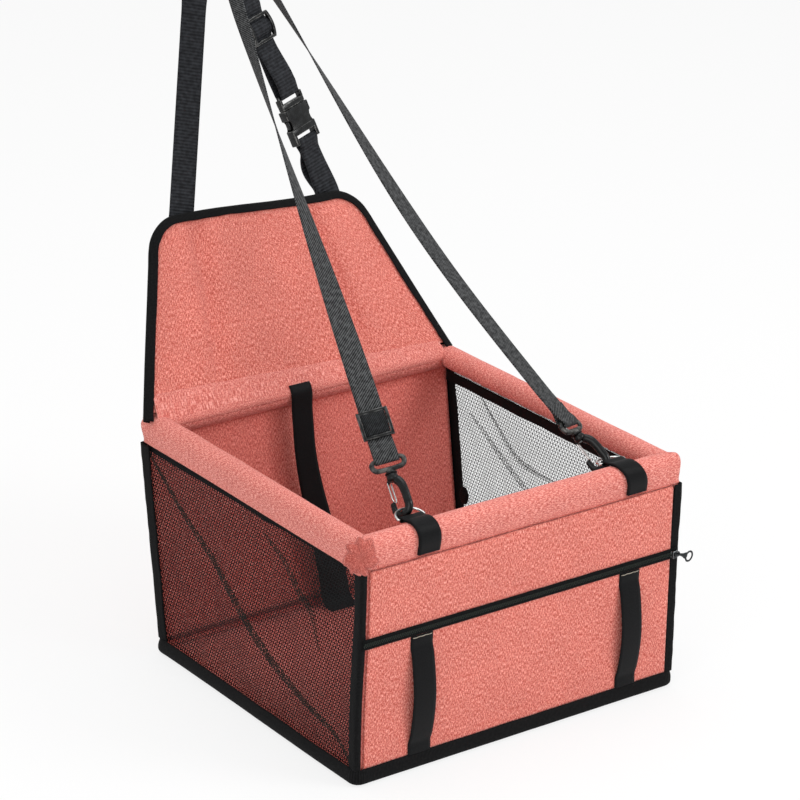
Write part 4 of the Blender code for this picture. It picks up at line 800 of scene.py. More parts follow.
COIL_PITCH, COIL_PROUD, COIL_HALF = 0.0021, 0.0012, 0.0010
TURN_SIZE = (0.00052, 0.0009, 0.0015, 1)
bm = bmesh.new()
bm.loops.layers.uv.new("weave")
turns = int(2 * zip_half / COIL_PITCH)
for i in range(turns):
    x = -zip_half + (i + 0.5) * COIL_PITCH
    for side in (-1, 1):
        shift = 0.5 * COIL_PITCH if side > 0 else 0
        place = (
            Matrix.Translation((x + shift, tape_y - COIL_PROUD, ZIP_HEIGHT + side * COIL_HALF))
            @ Matrix.Rotation(side * 0.30, 4, "Y")
            @ Matrix.Diagonal(TURN_SIZE)
        )
        bmesh.ops.create_icosphere(bm, subdivisions=1, radius=1.0, matrix=place)
finished("zip_coil", bm, COIL_NYLON, "tub")


# Belt loops: plain black webbing on the pocket, sewn at both ends, loose between them. A vehicle
# belt passes behind them. A pale bar of thread shows at each top end.
PALE_THREAD = woven_yarn("pale_sewing_thread", "#8F8678", "#CFC6B6", 0.7, 0.0012)
SATIN = woven_yarn("black_satin_webbing", "#060607", "#131416", 0.52, 0.0012, "lengthways", depth=0.15)


def into_bmesh(bm, part):
    """Adds one bmesh to another and frees it."""
    temporary = bpy.data.meshes.new("temporary")
    part.to_mesh(temporary)
    part.free()
    bm.from_mesh(temporary)
    bpy.data.meshes.remove(temporary)


def swept(points, radii, sides, rows, flat=1.0, closed=False, place=None, into=None):
    """A tube along points in the XZ plane of its place. Open ends round off to a point.
    It is added to another bmesh where there is one."""
    path = Route([(x, 0.0, z, r) for (x, z), r in zip(points, radii)], closed=closed)

    def on_tube(u, v):
        x, _, z, radius = path.at(v)
        end = min(v, 1 - v) * path.length
        if not closed and end < radius:
            radius *= math.sqrt(max(1 - (1 - end / radius) ** 2, 0.0))
        step = 0.002
        low, high = (v - step, v + step) if not closed else ((v - step) % 1.0, (v + step) % 1.0)
        before, after = path.at(low), path.at(high)
        direction = Vector((after[0] - before[0], 0, after[2] - before[2])).normalized()
        side = Vector((direction.z, 0, -direction.x))
        angle = 2 * math.pi * u
        spot = Vector((x, 0, z)) + side * radius * math.cos(angle)
        spot.y += radius * flat * math.sin(angle)
        return place @ spot if place else spot

    bm = laid_grid(sides, rows, on_tube, 0.01, path.length, joined=True)
    if into is None:
        return bm
    into_bmesh(into, bm)
    return into


def flat_strip(name, route, width, centre_x, thickness, replaces, rows=120, flow=None):
    """Satin webbing on the tub that bends in the YZ plane only, along (y, z) points."""
    path = Route([(y, z, 0.0) for y, z in route])

    def on_strip(u, v):
        y, z, _ = path.at(v)
        before, after = path.at(v - 0.004), path.at(v + 0.004)
        normal = Vector((0, after[1] - before[1], before[0] - after[0])).normalized()
        shift, lift = flow(u, v) if flow else (0.0, 0.0)
        return Vector((centre_x + (u - 0.5) * width + shift, y, z)) + normal * lift

    bm = laid_grid(8, rows, on_strip, width, path.length)
    return finished(name, bm, SATIN, "tub", replaces, thickness)


LOOP_SEWN, LOOP_RISE, STITCH = 0.012, 0.0080, 0.00038
for name, seed in (("left", 71), ("right", 72)):
    low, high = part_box(f"belt_loop_{name}")
    top, bottom = high.z - SEAM_GAP, low.z + SEAM_GAP
    flat = high.y - 0.0007
    route = [(flat, top - LOOP_SEWN * share) for share in (0, 0.5, 1)]
    for i in range(1, 14):
        share = i / 14
        height = top - LOOP_SEWN - (top - bottom - 2 * LOOP_SEWN) * share
        route.append((flat - LOOP_RISE * math.sin(math.pi * share) ** 0.75, height))
    route += [(flat, bottom + LOOP_SEWN * share) for share in (1, 0.5, 0)]

    def sway(u, v):
        shift = 0.0016 * math.sin(math.pi * v) * ripple(v * 0.1, 0.0, seed, 0.05)
        return shift, 0.0003 * math.sin(math.pi * u)

    bar_z, bar_y = top - 0.0016, flat - 0.0011
    bar_low, bar_step = low.x + 0.0015, (high.x - low.x - 0.003) / 6
    points = [(bar_low + i * bar_step, bar_z + 0.0002 * (-1) ** i) for i in range(7)]
    bm = swept(points, [STITCH] * 7, 8, 60, place=Matrix.Translation((0, bar_y, 0)))
    finished(f"thread_bar_{name}", bm, PALE_THREAD, "tub")
    flat_strip(
        f"belt_webbing_{name}", route, high.x - low.x, (low.x + high.x) / 2, 0.0012,
        (f"belt_loop_{name}",), flow=sway,
    )


# Ring tabs: black satin webbing, wrapped over the front rim, round the D-ring's bar and back
# under itself, where it is sewn down.
def sleeve_face(angle, offset):
    """A point round the front sleeve by its angle above straight out, as (y, z)."""
    a = math.radians(angle)
    out, rise = math.cos(a), math.sin(a)
    if rise >= 0:
        reach, height = (SLEEVE_RADIUS + offset) * out, (SLEEVE_RADIUS + offset) * rise
    else:
        reach = SLEEVE_RADIUS * out * (1 - 0.8 * rise * rise) + SLEEVE_SEAM_OUT * rise * rise + offset
        height = SLEEVE_DROP * rise
    return (-(HALF_DEPTH - SLEEVE_INSET) - reach, RIM_AXIS + height)


RING_BAR = (-(HALF_DEPTH - SLEEVE_INSET) + 0.0140, RIM_AXIS + SLEEVE_RADIUS - 0.0010)
TAB_X, TAB_SLANT, TAB_WIDTH = (-0.1245, 0.131), (0.0035, 0.0125), 0.0250
TAB_WEBBING, RING_WIRE = 0.0012, 0.0013
sweep = [-60 + 172 * i / 15 for i in range(16)]
turn = RING_WIRE + SEAM_GAP + TAB_WEBBING / 2
route = [sleeve_face(angle, SEAM_GAP + TAB_WEBBING / 2) for angle in sweep]
for i in range(9):
    angle = math.radians(-80 + 175 * i / 8)
    route.append((RING_BAR[0] + turn * math.cos(angle), RING_BAR[1] + turn * math.sin(angle)))
route += [sleeve_face(angle, 2 * SEAM_GAP + 1.5 * TAB_WEBBING) for angle in reversed(sweep)]
for name, x, slant in zip(("left", "right"), TAB_X, TAB_SLANT):

    def slanted(u, v):
        return slant * ease(abs(2 * v - 1), 0.10, 0.95), 0.0

    flat_strip(
        f"tab_webbing_{name}", route, TAB_WIDTH, x, TAB_WEBBING * 0.9,
        (f"ring_tab_{name}",), rows=220, flow=slanted,
    )


# Tether: a strap of black satin webbing. Its cut end lies over the rear rim, and it hangs down
# inside to the floor, a little aslant.
TETHER_X, TETHER_WIDTH, TETHER_THICK, TETHER_SLANT = -0.0145, 0.0265, 0.0014, 0.030
PAD_TOP = 0.006
rim_y = HALF_DEPTH - SLEEVE_INSET
reach = SLEEVE_RADIUS + SEAM_GAP + TETHER_THICK / 2 + 0.0022
route = [
    (rim_y + reach * math.cos(math.radians(a)), RIM_AXIS + reach * math.sin(math.radians(a)))
    for a in (128, 145, 162, 180)
]
top = Vector((rim_y - reach, RIM_AXIS - SLEEVE_DROP / 2))
floor_z = PAD_TOP + SEAM_GAP + TETHER_THICK / 2
foot = Vector((back_face(floor_z) - BOARD - 0.016, floor_z + 0.010))
route += [tuple(top.lerp(foot, i / 8)) for i in range(9)]
route += [(foot.x - 0.003, floor_z + 0.003), (foot.x - 0.008, floor_z), (foot.x - 0.018, floor_z)]
flat_strip(
    "tether_webbing", route, TETHER_WIDTH, TETHER_X, TETHER_THICK, ("tether_strap",),
    flow=lambda u, v: (ease(v, 0.22, 1.0) * (TETHER_SLANT + 0.010 * (u - 0.5)), 0.0),
)


# Front strap: 25 mm grey nylon webbing in a twill weave. It loops through the left hook's eye and
# its adjuster, twists up over the headrest and comes down to the right hook, where it is sewn.
WEBBING, FRONT_WIDTH, APEX_BEND = 0.0014, 0.025, 0.011
FRONT_APEX, REAR_APEX = Vector((-0.010, 0.376, 0.766)), Vector((0.010, 0.406, 0.758))
EYE_BAR_AT, EYE_WIRE, ADJUSTER_AT, SEWN_END = 0.0705, 0.0024, 0.1100, 0.026
GLIDE_LENGTH, GLIDE_THICKNESS, GLIDE_CLEARANCE = 0.031, 0.0026, 0.0005
GLIDE_RAIL, GLIDE_BAR = 0.0036, 0.0050
OVER = GLIDE_THICKNESS / 2 + GLIDE_CLEARANCE + WEBBING / 2


def frame_of(origin, across, along):
    """A placing matrix: X across, Z along, Y square to both."""
    along = along.normalized()
    across = (across - across.dot(along) * along).normalized()
    place = Matrix((across, along.cross(across), along)).transposed().to_4x4()
    place.translation = origin
    return place


class Strand:
    """A run of strap with its drop and the turn of its flat side. Its Y faces up and forward.
    The drop below the straight line is a sum of three waves."""

    def __init__(self, start, end, plane, turn, drop=(0.0, 0.0, 0.0)):
        self.start, self.end, self.plane, self.turn = Vector(start), Vector(end), plane, turn
        self.length = (self.end - self.start).length
        self.direction = (self.end - self.start) / self.length
        self.drop = drop

    def at(self, distance, lift=0.0):
        """The frame at a distance up the strand, lifted off its face."""
        share = distance / self.length
        spot = self.start + self.direction * distance
        along = self.direction.copy()
        for i, size in enumerate(self.drop):
            wave = (i + 1) * math.pi
            spot.z -= size * math.sin(wave * share)
            along.z -= size * wave * math.cos(wave * share) / self.length
        flat = self.plane.cross(self.direction).normalized()
        turn = math.radians(self.turn(share))
        place = frame_of(spot, flat * math.cos(turn) + self.plane * math.sin(turn), along)
        place.translation += place.col[1].to_3d() * lift
        return place

    def run(self, start, end, steps):
        """Stations from one distance to another."""
        return [self.at(start + (end - start) * i / steps) for i in range(steps + 1)]

    def round_bar(self, bar_at, radius, way=-1):
        """Stations that turn under a bar, from behind it to its front, or over it where way is 1."""
        turn = radius + 2 * SEAM_GAP + WEBBING / 2
        angles = [math.pi * i / 6 for i in range(7)]
        return [self.at(bar_at + way * turn * math.sin(a), -turn * math.cos(a)) for a in angles]

    def through_glide(self, glide_at):
        """Stations behind a slide's rails and over its middle bar."""
        slot_end, bar = GLIDE_LENGTH / 2 - GLIDE_RAIL, GLIDE_BAR / 2
        return [
            self.at(glide_at - slot_end - GLIDE_RAIL, -OVER),
            self.at(glide_at - slot_end + 0.0002, -OVER),
            self.at(glide_at - bar - 0.0004, OVER),
            self.at(glide_at + bar + 0.0004, OVER),
            self.at(glide_at + slot_end - 0.0002, -OVER),
            self.at(glide_at + slot_end + GLIDE_RAIL, -OVER),
        ]


def loop_plane(left, right, apex):
    """The unit normal of a strap loop's plane, pointing up and forward."""
    normal = (apex - left).cross(right - left).normalized()
    return normal if normal.z > 0 else -normal


def over_headrest(left, right, plane, across):
    """Stations of the bend at a loop's top, from the left strand round to the right one."""
    middle = (left.direction + right.direction).normalized()
    flat = plane.cross(middle).normalized()
    stations = []
    for i in range(7):
        angle = math.pi * (i / 6 - 0.5)
        spot = left.end + (flat * math.sin(angle) + middle * math.cos(angle)) * APEX_BEND
        stations.append(frame_of(spot, across, flat * math.cos(angle) - middle * math.sin(angle)))
    return stations


def strap_piece(name, stations, width, material, body, replaces, rows):
    """Webbing through its stations, each of which says where it is and how its width lies."""
    path = Route([(*s.translation, *s.col[0].to_3d()) for s in stations], dense=6)

    def on_strap(u, v):
        now, before, after = path.at(v), path.at(v - 0.001), path.at(v + 0.001)
        along = Vector(after[:3]) - Vector(before[:3])
        across = Vector(now[3:])
        across = (across - across.project(along)).normalized()
        return Vector(now[:3]) + across * (u - 0.5) * width

    bm = laid_grid(6, rows, on_strap, width, path.length)
    return finished(name, bm, material, body, replaces, WEBBING - 0.0001)


TWILL = woven_yarn("grey_nylon_twill_webbing", "#121314", "#5A5B5C", 0.62, 0.0031, "diagonal", 0.6, 0.30)
LEFT_TURN, RIGHT_TURN = -27.0, 18.0
LEFT_DROP, RIGHT_DROP = (0.0076, -0.0040, 0.0), (0.0250, 0.0064, -0.0039)
RING_HALF, RING_RISE, RING_LEAN, HOOK_SLIDE = 0.0156, 0.015, (12.0, -10.0), (0.0, -0.0065)


def bow_point(angle):
    """A point of the D-ring's bow, in the ring's frame."""
    return Vector((RING_HALF * math.cos(angle), 0, RING_RISE * math.sin(angle) ** 0.8))


ring_places, hook_starts = [], []
for x, lean, slide in zip(TAB_X, RING_LEAN, HOOK_SLIDE):
    lean = math.radians(lean)
    place = frame_of(Vector((x, *RING_BAR)), Vector((1, 0, 0)), Vector((0, math.cos(lean), math.sin(lean))))
    held = place @ bow_point(math.acos(slide / RING_HALF))
    ring_places.append(place)
    hook_starts.append(held - (FRONT_APEX - held).normalized() * RING_RISE)
front_plane = loop_plane(*hook_starts, FRONT_APEX)
front_left = Strand(
    hook_starts[0], FRONT_APEX, front_plane,
    lambda share: LEFT_TURN + (90 - LEFT_TURN) * min(max((share - 0.17) / 0.625, 0), 1), LEFT_DROP,
)
front_right = Strand(
    hook_starts[1], FRONT_APEX, front_plane,
    lambda share: RIGHT_TURN + (90 - RIGHT_TURN) * ease(share, 0.44, 1.05), RIGHT_DROP,
)
behind = -(OVER + WEBBING + SEAM_GAP)
bend_share = 1 - APEX_BEND * 0.9 / front_left.length
glide_low, glide_high = ADJUSTER_AT - GLIDE_LENGTH / 2, ADJUSTER_AT + GLIDE_LENGTH / 2
stations = [front_left.at(glide_low - SEAM_GAP, behind), front_left.at(EYE_BAR_AT + 0.006, behind)]
stations += front_left.round_bar(EYE_BAR_AT, EYE_WIRE)
stations += front_left.through_glide(ADJUSTER_AT)
stations += front_left.run(glide_high + 0.012, front_left.length * bend_share, 22)
stations += over_headrest(front_left, front_right, front_plane, front_plane)
stations += front_right.run(front_right.length * bend_share, EYE_BAR_AT + 0.016, 22)
stations += front_right.round_bar(EYE_BAR_AT, EYE_WIRE)
lap = WEBBING + SEAM_GAP
stations += [front_right.at(EYE_BAR_AT + 0.012, lap), front_right.at(EYE_BAR_AT + SEWN_END, lap)]
strap_piece(
    "front_webbing", stations, FRONT_WIDTH, TWILL, "front_loop", ("front_strap",), 900
)


# D-rings: bent nickel-plated wire, with a straight bar in the tab and a bow above it. The front
# strap's hooks hang in the bows.
def object_grain(tree, scale):
    """Fine noise on the piece's own coordinates."""
    spot = add(tree, "ShaderNodeTexCoord").outputs["Object"]
    return add(tree, "ShaderNodeTexNoise", {"Vector": spot, "Scale": scale, "Detail": 3.0}).outputs[0]


def plated_wire(name, base, light, roughness):
    """Plated wire: bright, with faint drawing marks that break its highlights."""
    made = bpy.data.materials.new(name)
    tree, output = empty_tree(made)
    marks = object_grain(tree, 900.0)
    ramp = add(tree, "ShaderNodeValToRGB", {0: marks})
    first, last = ramp.color_ramp.elements
    first.color, last.color = linear(base), linear(light)
    shader = shader_of(tree, output, roughness, **{"Base Color": ramp.outputs[0], "Metallic": 1.0})
    bump = add(tree, "ShaderNodeBump", {"Height": marks, "Strength": 0.15, "Distance": 0.0001})
    tree.links.new(bump.outputs[0], shader.inputs["Normal"])
    return made


NICKEL = plated_wire("nickel_plated_wire", "#B4B5B4", "#F2F2F0", 0.24)
for name, place in zip(("left", "right"), ring_places):
    bow = [bow_point(math.pi * i / 16).xz for i in range(17)]
    bow += [Vector((RING_HALF * s, 0)) for s in (-0.85, -0.4, 0.4, 0.85)]
    bm = swept(bow, [RING_WIRE] * len(bow), 14, 120, closed=True, place=place)
    finished(f"ring_{name}", bm, NICKEL, "front_loop", (f"d_ring_{name}",))


# Snap hooks: moulded black acetal. The hook's head turns on the pin of a swivel eye, and a gate
# of sprung wire closes on its nose.
def acetal(name, base, worn, roughness):
    """Moulded acetal: a low soft gloss, faintly uneven, paler in patches. The paler colour is uneven tone on
    most parts, and a painted highlight on the swivel eyes and the pale edges.
    """
    made = bpy.data.materials.new(name)
    tree, output = empty_tree(made)
    broad, fine = object_grain(tree, 160.0), object_grain(tree, 1400.0)
    ramp = add(tree, "ShaderNodeValToRGB", {0: broad})
    first, last = ramp.color_ramp.elements
    first.position, first.color = 0.42, linear(base)
    last.position, last.color = 0.78, linear(worn)
    shine = add(
        tree, "ShaderNodeMapRange",
        {"Value": fine, "To Min": roughness - 0.06, "To Max": roughness + 0.10},
    )
    shader = shader_of(
        tree, output, roughness, **{"Base Color": ramp.outputs[0], "Specular IOR Level": 0.30}
    )
    tree.links.new(shine.outputs[0], shader.inputs["Roughness"])
    bump = add(tree, "ShaderNodeBump", {"Height": fine, "Strength": 0.12, "Distance": 0.0001})
    tree.links.new(bump.outputs[0], shader.inputs["Normal"])
    return made


ACETAL = acetal("black_acetal", "#050606", "#17191A", 0.26)
# The swivel eyes' acetal is pale grey in patches: a painted highlight for the reflections on its gloss.
ACETAL_EYE_PAINTED_HIGHLIGHT = acetal("scuffed_black_acetal", "#181919", "#6E6C68", 0.26)
HOOK_HEAD_AT, HOOK_HEAD_RADIUS, HOOK_HEAD_LENGTH = 0.0505, 0.0056, 0.0090
HOOK_BAR, HOOK_BEND, NOSE_RISE, GATE_TOP_AT = 0.0037, 0.0090, 0.0080, 0.0460
HOOK_TURNS, EYE_DEPTH = (115.0, 125.0), 0.0112


def turned(points, place, into):
    """Adds a turned shape about its place's Z, from (radius, height) points."""
    path = Route([(r, 0.0, z) for r, z in points], dense=4)

    def on_turned(u, v):
        radius, _, z = path.at(v)
        radius, angle = max(radius, 0), 2 * math.pi * u
        return place @ Vector((radius * math.cos(angle), radius * math.sin(angle), z))

    into_bmesh(into, laid_grid(28, len(points) * 5, on_turned, joined=True))


for name, strand, strap_turn, turn in (
    ("left", front_left, LEFT_TURN, HOOK_TURNS[0]),
    ("right", front_right, RIGHT_TURN, HOOK_TURNS[1]),
):
    place = strand.at(HOOK_HEAD_AT) @ Matrix.Rotation(math.radians(turn - strap_turn), 4, "Z")
    wire_top = RING_RISE - RING_WIRE - 3 * SEAM_GAP
    bend_z = wire_top - HOOK_BAR + HOOK_BEND - HOOK_HEAD_AT
    low = -HOOK_HEAD_LENGTH / 2
    arm = [(0.0014, low + 0.0020), (0.0048, low - 0.0016)]
    arm += [(0.0078, low - 0.0070), (0.0088, low - 0.0140)]
    arm += [
        (HOOK_BEND * math.cos(a), bend_z + HOOK_BEND * math.sin(a))
        for a in [math.radians(8 - 188 * i / 12) for i in range(13)]
    ]
    arm += [(-HOOK_BEND, bend_z + NOSE_RISE * 0.5), (-HOOK_BEND, bend_z + NOSE_RISE)]
    sizes = [0.0048, 0.0048, 0.0046, 0.0045] + [0.0044] * 7
    sizes += [0.0042, 0.0040, 0.0038, 0.0036, 0.0034, 0.0032, 0.0030, 0.0028]
    bm = swept(arm, sizes, 20, 120, 0.85, place=place)
    head = [(0, low - 0.0004), (0.0044, low - 0.0003), (0.0056, low + 0.0010), (0.0059, 0.0)]
    head += [(0.0056, -low - 0.0030), (0.0047, -low - 0.0024), (0.0062, -low - 0.0014)]
    head += [(0.0064, -low - 0.0004), (0.0050, -low + 0.0003), (0.0024, -low + 0.0003), (0, -low + 0.0003)]
    turned(head, place, bm)
    # The lug on the head's side holds the gate's legs.
    lug = [(-0.0046, low + 0.0026), (-0.0062, low + 0.0012), (-0.0070, low - 0.0014)]
    swept(lug, [0.0022, 0.0021, 0.0014], 12, 24, 0.8, place=place, into=bm)
    finished(f"snap_hook_{name}", bm, ACETAL, f"hook_{name}", (f"hook_{name}",))

    own = place @ Matrix.Translation((-HOOK_HEAD_RADIUS - 0.0004, 0, GATE_TOP_AT - HOOK_HEAD_AT))
    end_x = -HOOK_BEND + HOOK_BAR * 0.62 + SEAM_GAP + 0.0006 + HOOK_HEAD_RADIUS + 0.0004
    drop = Vector((end_x, 0, bend_z + NOSE_RISE - 0.0012 - (GATE_TOP_AT - HOOK_HEAD_AT)))
    legs = [(-0.0030, 0.0), (-0.0030, 0.5), (-0.0029, 0.85), (-0.0020, 0.98), (0, 1.02)]
    legs += [(-y, z) for y, z in reversed(legs[:-1])]
    lean = frame_of(own.translation, own.to_3x3() @ Vector((0, 1, 0)), own.to_3x3() @ drop)
    bm = swept([(y, z * drop.length) for y, z in legs], [0.00075] * len(legs), 10, 90, place=lean)
    finished(f"wire_gate_{name}", bm, NICKEL, f"hook_gate_{name}", (f"hook_gate_{name}",))

    head_top = HOOK_HEAD_AT + HOOK_HEAD_LENGTH / 2
    eye_place = strand.at(head_top)
    top = EYE_BAR_AT - head_top
    bottom = top - EYE_DEPTH
    loop = [(0, top), (0.0090, top), (0.0135, top - 0.0004), (0.0163, top - 0.0030), (0.0163, top - 0.0068)]
    loop += [(0.0138, bottom + 0.0012), (0.0085, bottom + 0.0003), (0.0040, bottom), (0, bottom)]
    loop += [(-x, z) for x, z in reversed(loop[1:-1])]
    fat = [0.0023] * 3 + [0.0027] * 8 + [0.0026] * 3 + [0.0023] * 2
    bm = swept(loop, fat, 16, 150, 0.85, closed=True, place=eye_place)
    boss = [(0, 0.0002), (0.0036, 0.0003), (0.0038, 0.0012)]
    boss += [(0.0032, bottom), (0.0020, bottom + 0.001), (0, bottom + 0.001)]
    turned(boss, eye_place, bm)
    finished(f"swivel_eye_{name}", bm, ACETAL_EYE_PAINTED_HIGHLIGHT, "front_loop", (f"hook_eye_{name}",))


# Strap slides: moulded acetal with two slots. The sides stand up in a low arch and the middle
# bar lies deep between them. Their edges are pale, a painted highlight, which is their second material.
# The material slot of the moulded boxes' pale bevelled edges. On acetal parts the pale edge is a painted
# highlight.
PALE_EDGE_SLOT = 1


def moulded_box(bm, low, high, place, edge, arch=0.0):
    """A box with rounded edges. Its front can rise in an arch along Z."""
    part = bmesh.new()
    bmesh.ops.create_cube(part, size=1.0)
    low, high = Vector(low), Vector(high)
    bmesh.ops.scale(part, vec=high - low, verts=part.verts)
    bmesh.ops.translate(part, vec=(low + high) / 2, verts=part.verts)
    if arch:
        along = [e for e in part.edges if abs(e.verts[0].co.z - e.verts[1].co.z) > 1e-6]
        bmesh.ops.subdivide_edges(part, edges=along, cuts=9, use_grid_fill=True)
        for vert in part.verts:
            if vert.co.y > 0:
                vert.co.y += arch * (1 - (2 * vert.co.z / GLIDE_LENGTH) ** 2)
    sharp = [e for e in part.edges if len(e.link_faces) == 2 and e.calc_face_angle() > 0.9]
    bmesh.ops.bevel(
        part, geom=sharp, offset=edge, offset_type="OFFSET", segments=2, profile=0.5, affect="EDGES",
        material=PALE_EDGE_SLOT,
    )
    bmesh.ops.transform(part, matrix=place, verts=part.verts)
    into_bmesh(bm, part)


def paired_boxes(bm, reach, low, high, place, edge, arch=0.0):
    """Two moulded boxes, one each side of the middle: reach is their nearest and furthest X."""
    for side in (-1, 1):
        near, far = sorted(side * x for x in reach)
        moulded_box(bm, (near, *low), (far, *high), place, edge, arch)


def slide_frame(name, place, width, body, node):
    """A slide for webbing of one width: two arched sides, two rails and the middle bar."""
    half, slot = width / 2 + SEAM_GAP + 0.0034, width / 2 + SEAM_GAP
    end, rail, bar, back = GLIDE_LENGTH / 2, GLIDE_RAIL, GLIDE_BAR / 2, GLIDE_THICKNESS / 2
    bm = bmesh.new()
    paired_boxes(bm, (slot, half), (-back, -end), (back, end), place, 0.0006, 0.0036)
    for side in (-1, 1):
        near, far = sorted((side * (end - rail), side * end))
        moulded_box(bm, (-slot - 0.0008, -back, near), (slot + 0.0008, back + 0.0006, far), place, 0.0008)
    moulded_box(bm, (-slot - 0.0006, -back, -bar), (slot + 0.0006, back, bar), place, 0.0007)
    slide = finished(name, bm, BUCKLE_ACETAL, body, (node,))
    slide.data.materials.append(ACETAL_PAINTED_HIGHLIGHT)
    return slide


BUCKLE_ACETAL = acetal("glossy_black_acetal", "#090A0A", "#222426", 0.24)
# Pale acetal for the bevelled edges: a painted highlight along every edge.
ACETAL_PAINTED_HIGHLIGHT = acetal("rubbed_acetal_edge", "#262727", "#8C8C89", 0.22)
slide_frame("front_slide", front_left.at(ADJUSTER_AT), FRONT_WIDTH, "front_adjuster", "front_adjuster")
# The strap's end layer, laid over the slide's middle bar, is a darker copy of the twill: painted shade in
# the slide's window.
SHADED_TWILL = woven_yarn(
    "grey_nylon_twill_folded_end", "#08090A", "#2E3032", 0.62, 0.0027, "diagonal", 0.6, 0.28
)
window = GLIDE_LENGTH / 2 - GLIDE_RAIL
end_layer = [
    front_left.at(ADJUSTER_AT + window * s, OVER + 0.0013 - 0.0022 * s * s)
    for s in (-0.98, -0.6, -0.2, 0.2, 0.6, 0.98)
]
strap_piece(
    "front_webbing_end", end_layer, FRONT_WIDTH - 0.0004, SHADED_TWILL, "front_adjuster",
    (), 24,
)


# Zip slider and pull: cast zinc with a dark plating. The slider's two plates hold the coil, and
# its bridge carries the pull, a flared bar that ends in a ring.
GUNMETAL = plated_wire("dark_plated_zinc", "#1B1C1E", "#4E5153", 0.34)
GUNMETAL_EDGE = plated_wire("bright_zinc_edge", "#5A5C5E", "#A0A3A4", 0.28)
SLIDER_DEEP, PLATE_BACK, PLATE_FRONT, BRIDGE_BAR = 0.0030, 0.0008, 0.0011, 0.00055
low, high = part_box("zip_slider")
middle = Vector(((low.x + high.x) / 2, 0, ZIP_HEIGHT))
bm = bmesh.new()
slider_at = Matrix.Translation(middle)
half_x, half_z = (high.x - low.x) / 2, (high.z - low.z) / 2
front_face = high.y - SLIDER_DEEP
for near, far in ((high.y - PLATE_BACK, high.y), (front_face - PLATE_FRONT, front_face)):
    moulded_box(bm, (-half_x, near, -half_z), (half_x * 0.2, far, half_z), slider_at, 0.0004)
    moulded_box(bm, (0, near, -half_z * 0.74), (half_x, far, half_z * 0.74), slider_at, 0.0004)
for side in (-1, 1):
    near, far = sorted((side * half_z * 0.86, side * half_z))
    moulded_box(bm, (-half_x, front_face - 0.0006, near), (half_x * 0.2, high.y, far), slider_at, 0.0003)
bridge = [(-0.0029, 0.0), (-0.0028, 0.0018), (-0.0018, 0.0027), (0.0, 0.0029)]
bridge += [(-x, z) for x, z in reversed(bridge[:-1])]
outward = slider_at @ Matrix.Translation((0, front_face - 0.0010, 0))
outward = outward @ Matrix.Rotation(math.radians(90), 4, "X")
swept(bridge, [BRIDGE_BAR] * 7, 10, 40, 1.6, place=outward, into=bm)
slider = finished("zip_slider_cast", bm, GUNMETAL, "zip_slider", ("zip_slider",))
slider.data.materials.append(GUNMETAL_EDGE)

# The pull hangs a little from the bridge.
PULL_DROOP = math.radians(22)
low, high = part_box("zip_pull")
pull_y, pull_thick = (low.y + high.y) / 2, (high.y - low.y) / 2
eye_r, ring_r, reach = 0.0023, 0.0043, high.x - low.x - 0.0078
pull_at = Matrix.Translation((low.x + 0.0029, pull_y, ZIP_HEIGHT)) @ Matrix.Rotation(PULL_DROOP, 4, "Y")
bm = bmesh.new()
for centre, radius, bar, tall in ((0.0, eye_r, 0.0007, 1.0), (reach, ring_r, 0.0011, 1.25)):
    ring = [
        (centre + radius * math.cos(a), radius * tall * math.sin(a))
        for a in [2 * math.pi * i / 16 for i in range(16)]
    ]
    swept(ring, [bar] * 16, 12, 60, pull_thick / bar, closed=True, place=pull_at, into=bm)
stem = [(x, 0) for x in (eye_r * 0.6, 0.0040, 0.0070, reach - 0.0056, reach - 0.0036, reach - 0.0026)]
swept(stem, [0.0014, 0.0015, 0.0020, 0.0036, 0.0042, 0.0036], 14, 40, 0.25, place=pull_at, into=bm)
finished("zip_pull_cast", bm, GUNMETAL, "zip_pull", ("zip_pull",))


# Backrest: foam between two layers of the canvas, sewn with soft upright folds, its edge bound in
# grosgrain tape. It leans back from the rear rim, where it is sewn on.
LEAN, BACKREST_HEIGHT, FOOT_HALF, TOP_HALF, BACKREST_CORNER = 31.0, 0.187, 0.1985, 0.1300, 0.028
PAD, EDGE_TAPE, PAD_BELOW = 0.0060, 0.0082, 0.0030
HINGE = Vector((0, HALF_DEPTH - SLEEVE_INSET, RIM_AXIS + SLEEVE_RADIUS + SEAM_GAP + PAD / 2 + 0.0022))
backrest = Matrix.Translation(HINGE) @ Matrix.Rotation(math.radians(-LEAN), 4, "X")


def stretched(x, height):
    """The sewn panel is not quite even: its left side is cut taller and stands a little wider."""
    left = ease(-x, -0.09, 0.09)
    share = max(height, 0) / BACKREST_HEIGHT
    shift = 0.0055 * ease(-x, 0.10, 0.19) * (1 - 0.6 * share)
    shift += 0.0072 * ease(x, 0.06, 0.19) * (1 - 0.5 * share)
    return x - shift, height * (1 + 0.050 * left)


def backrest_half(height):
    """Half the backrest's width at a height up its slope, with its rounded top corners."""
    half = FOOT_HALF - (FOOT_HALF - TOP_HALF) / BACKREST_HEIGHT * height
    past = height - (BACKREST_HEIGHT - BACKREST_CORNER)
    if past > 0:
        half -= BACKREST_CORNER - math.sqrt(max(BACKREST_CORNER**2 - past**2, 0))
    return half


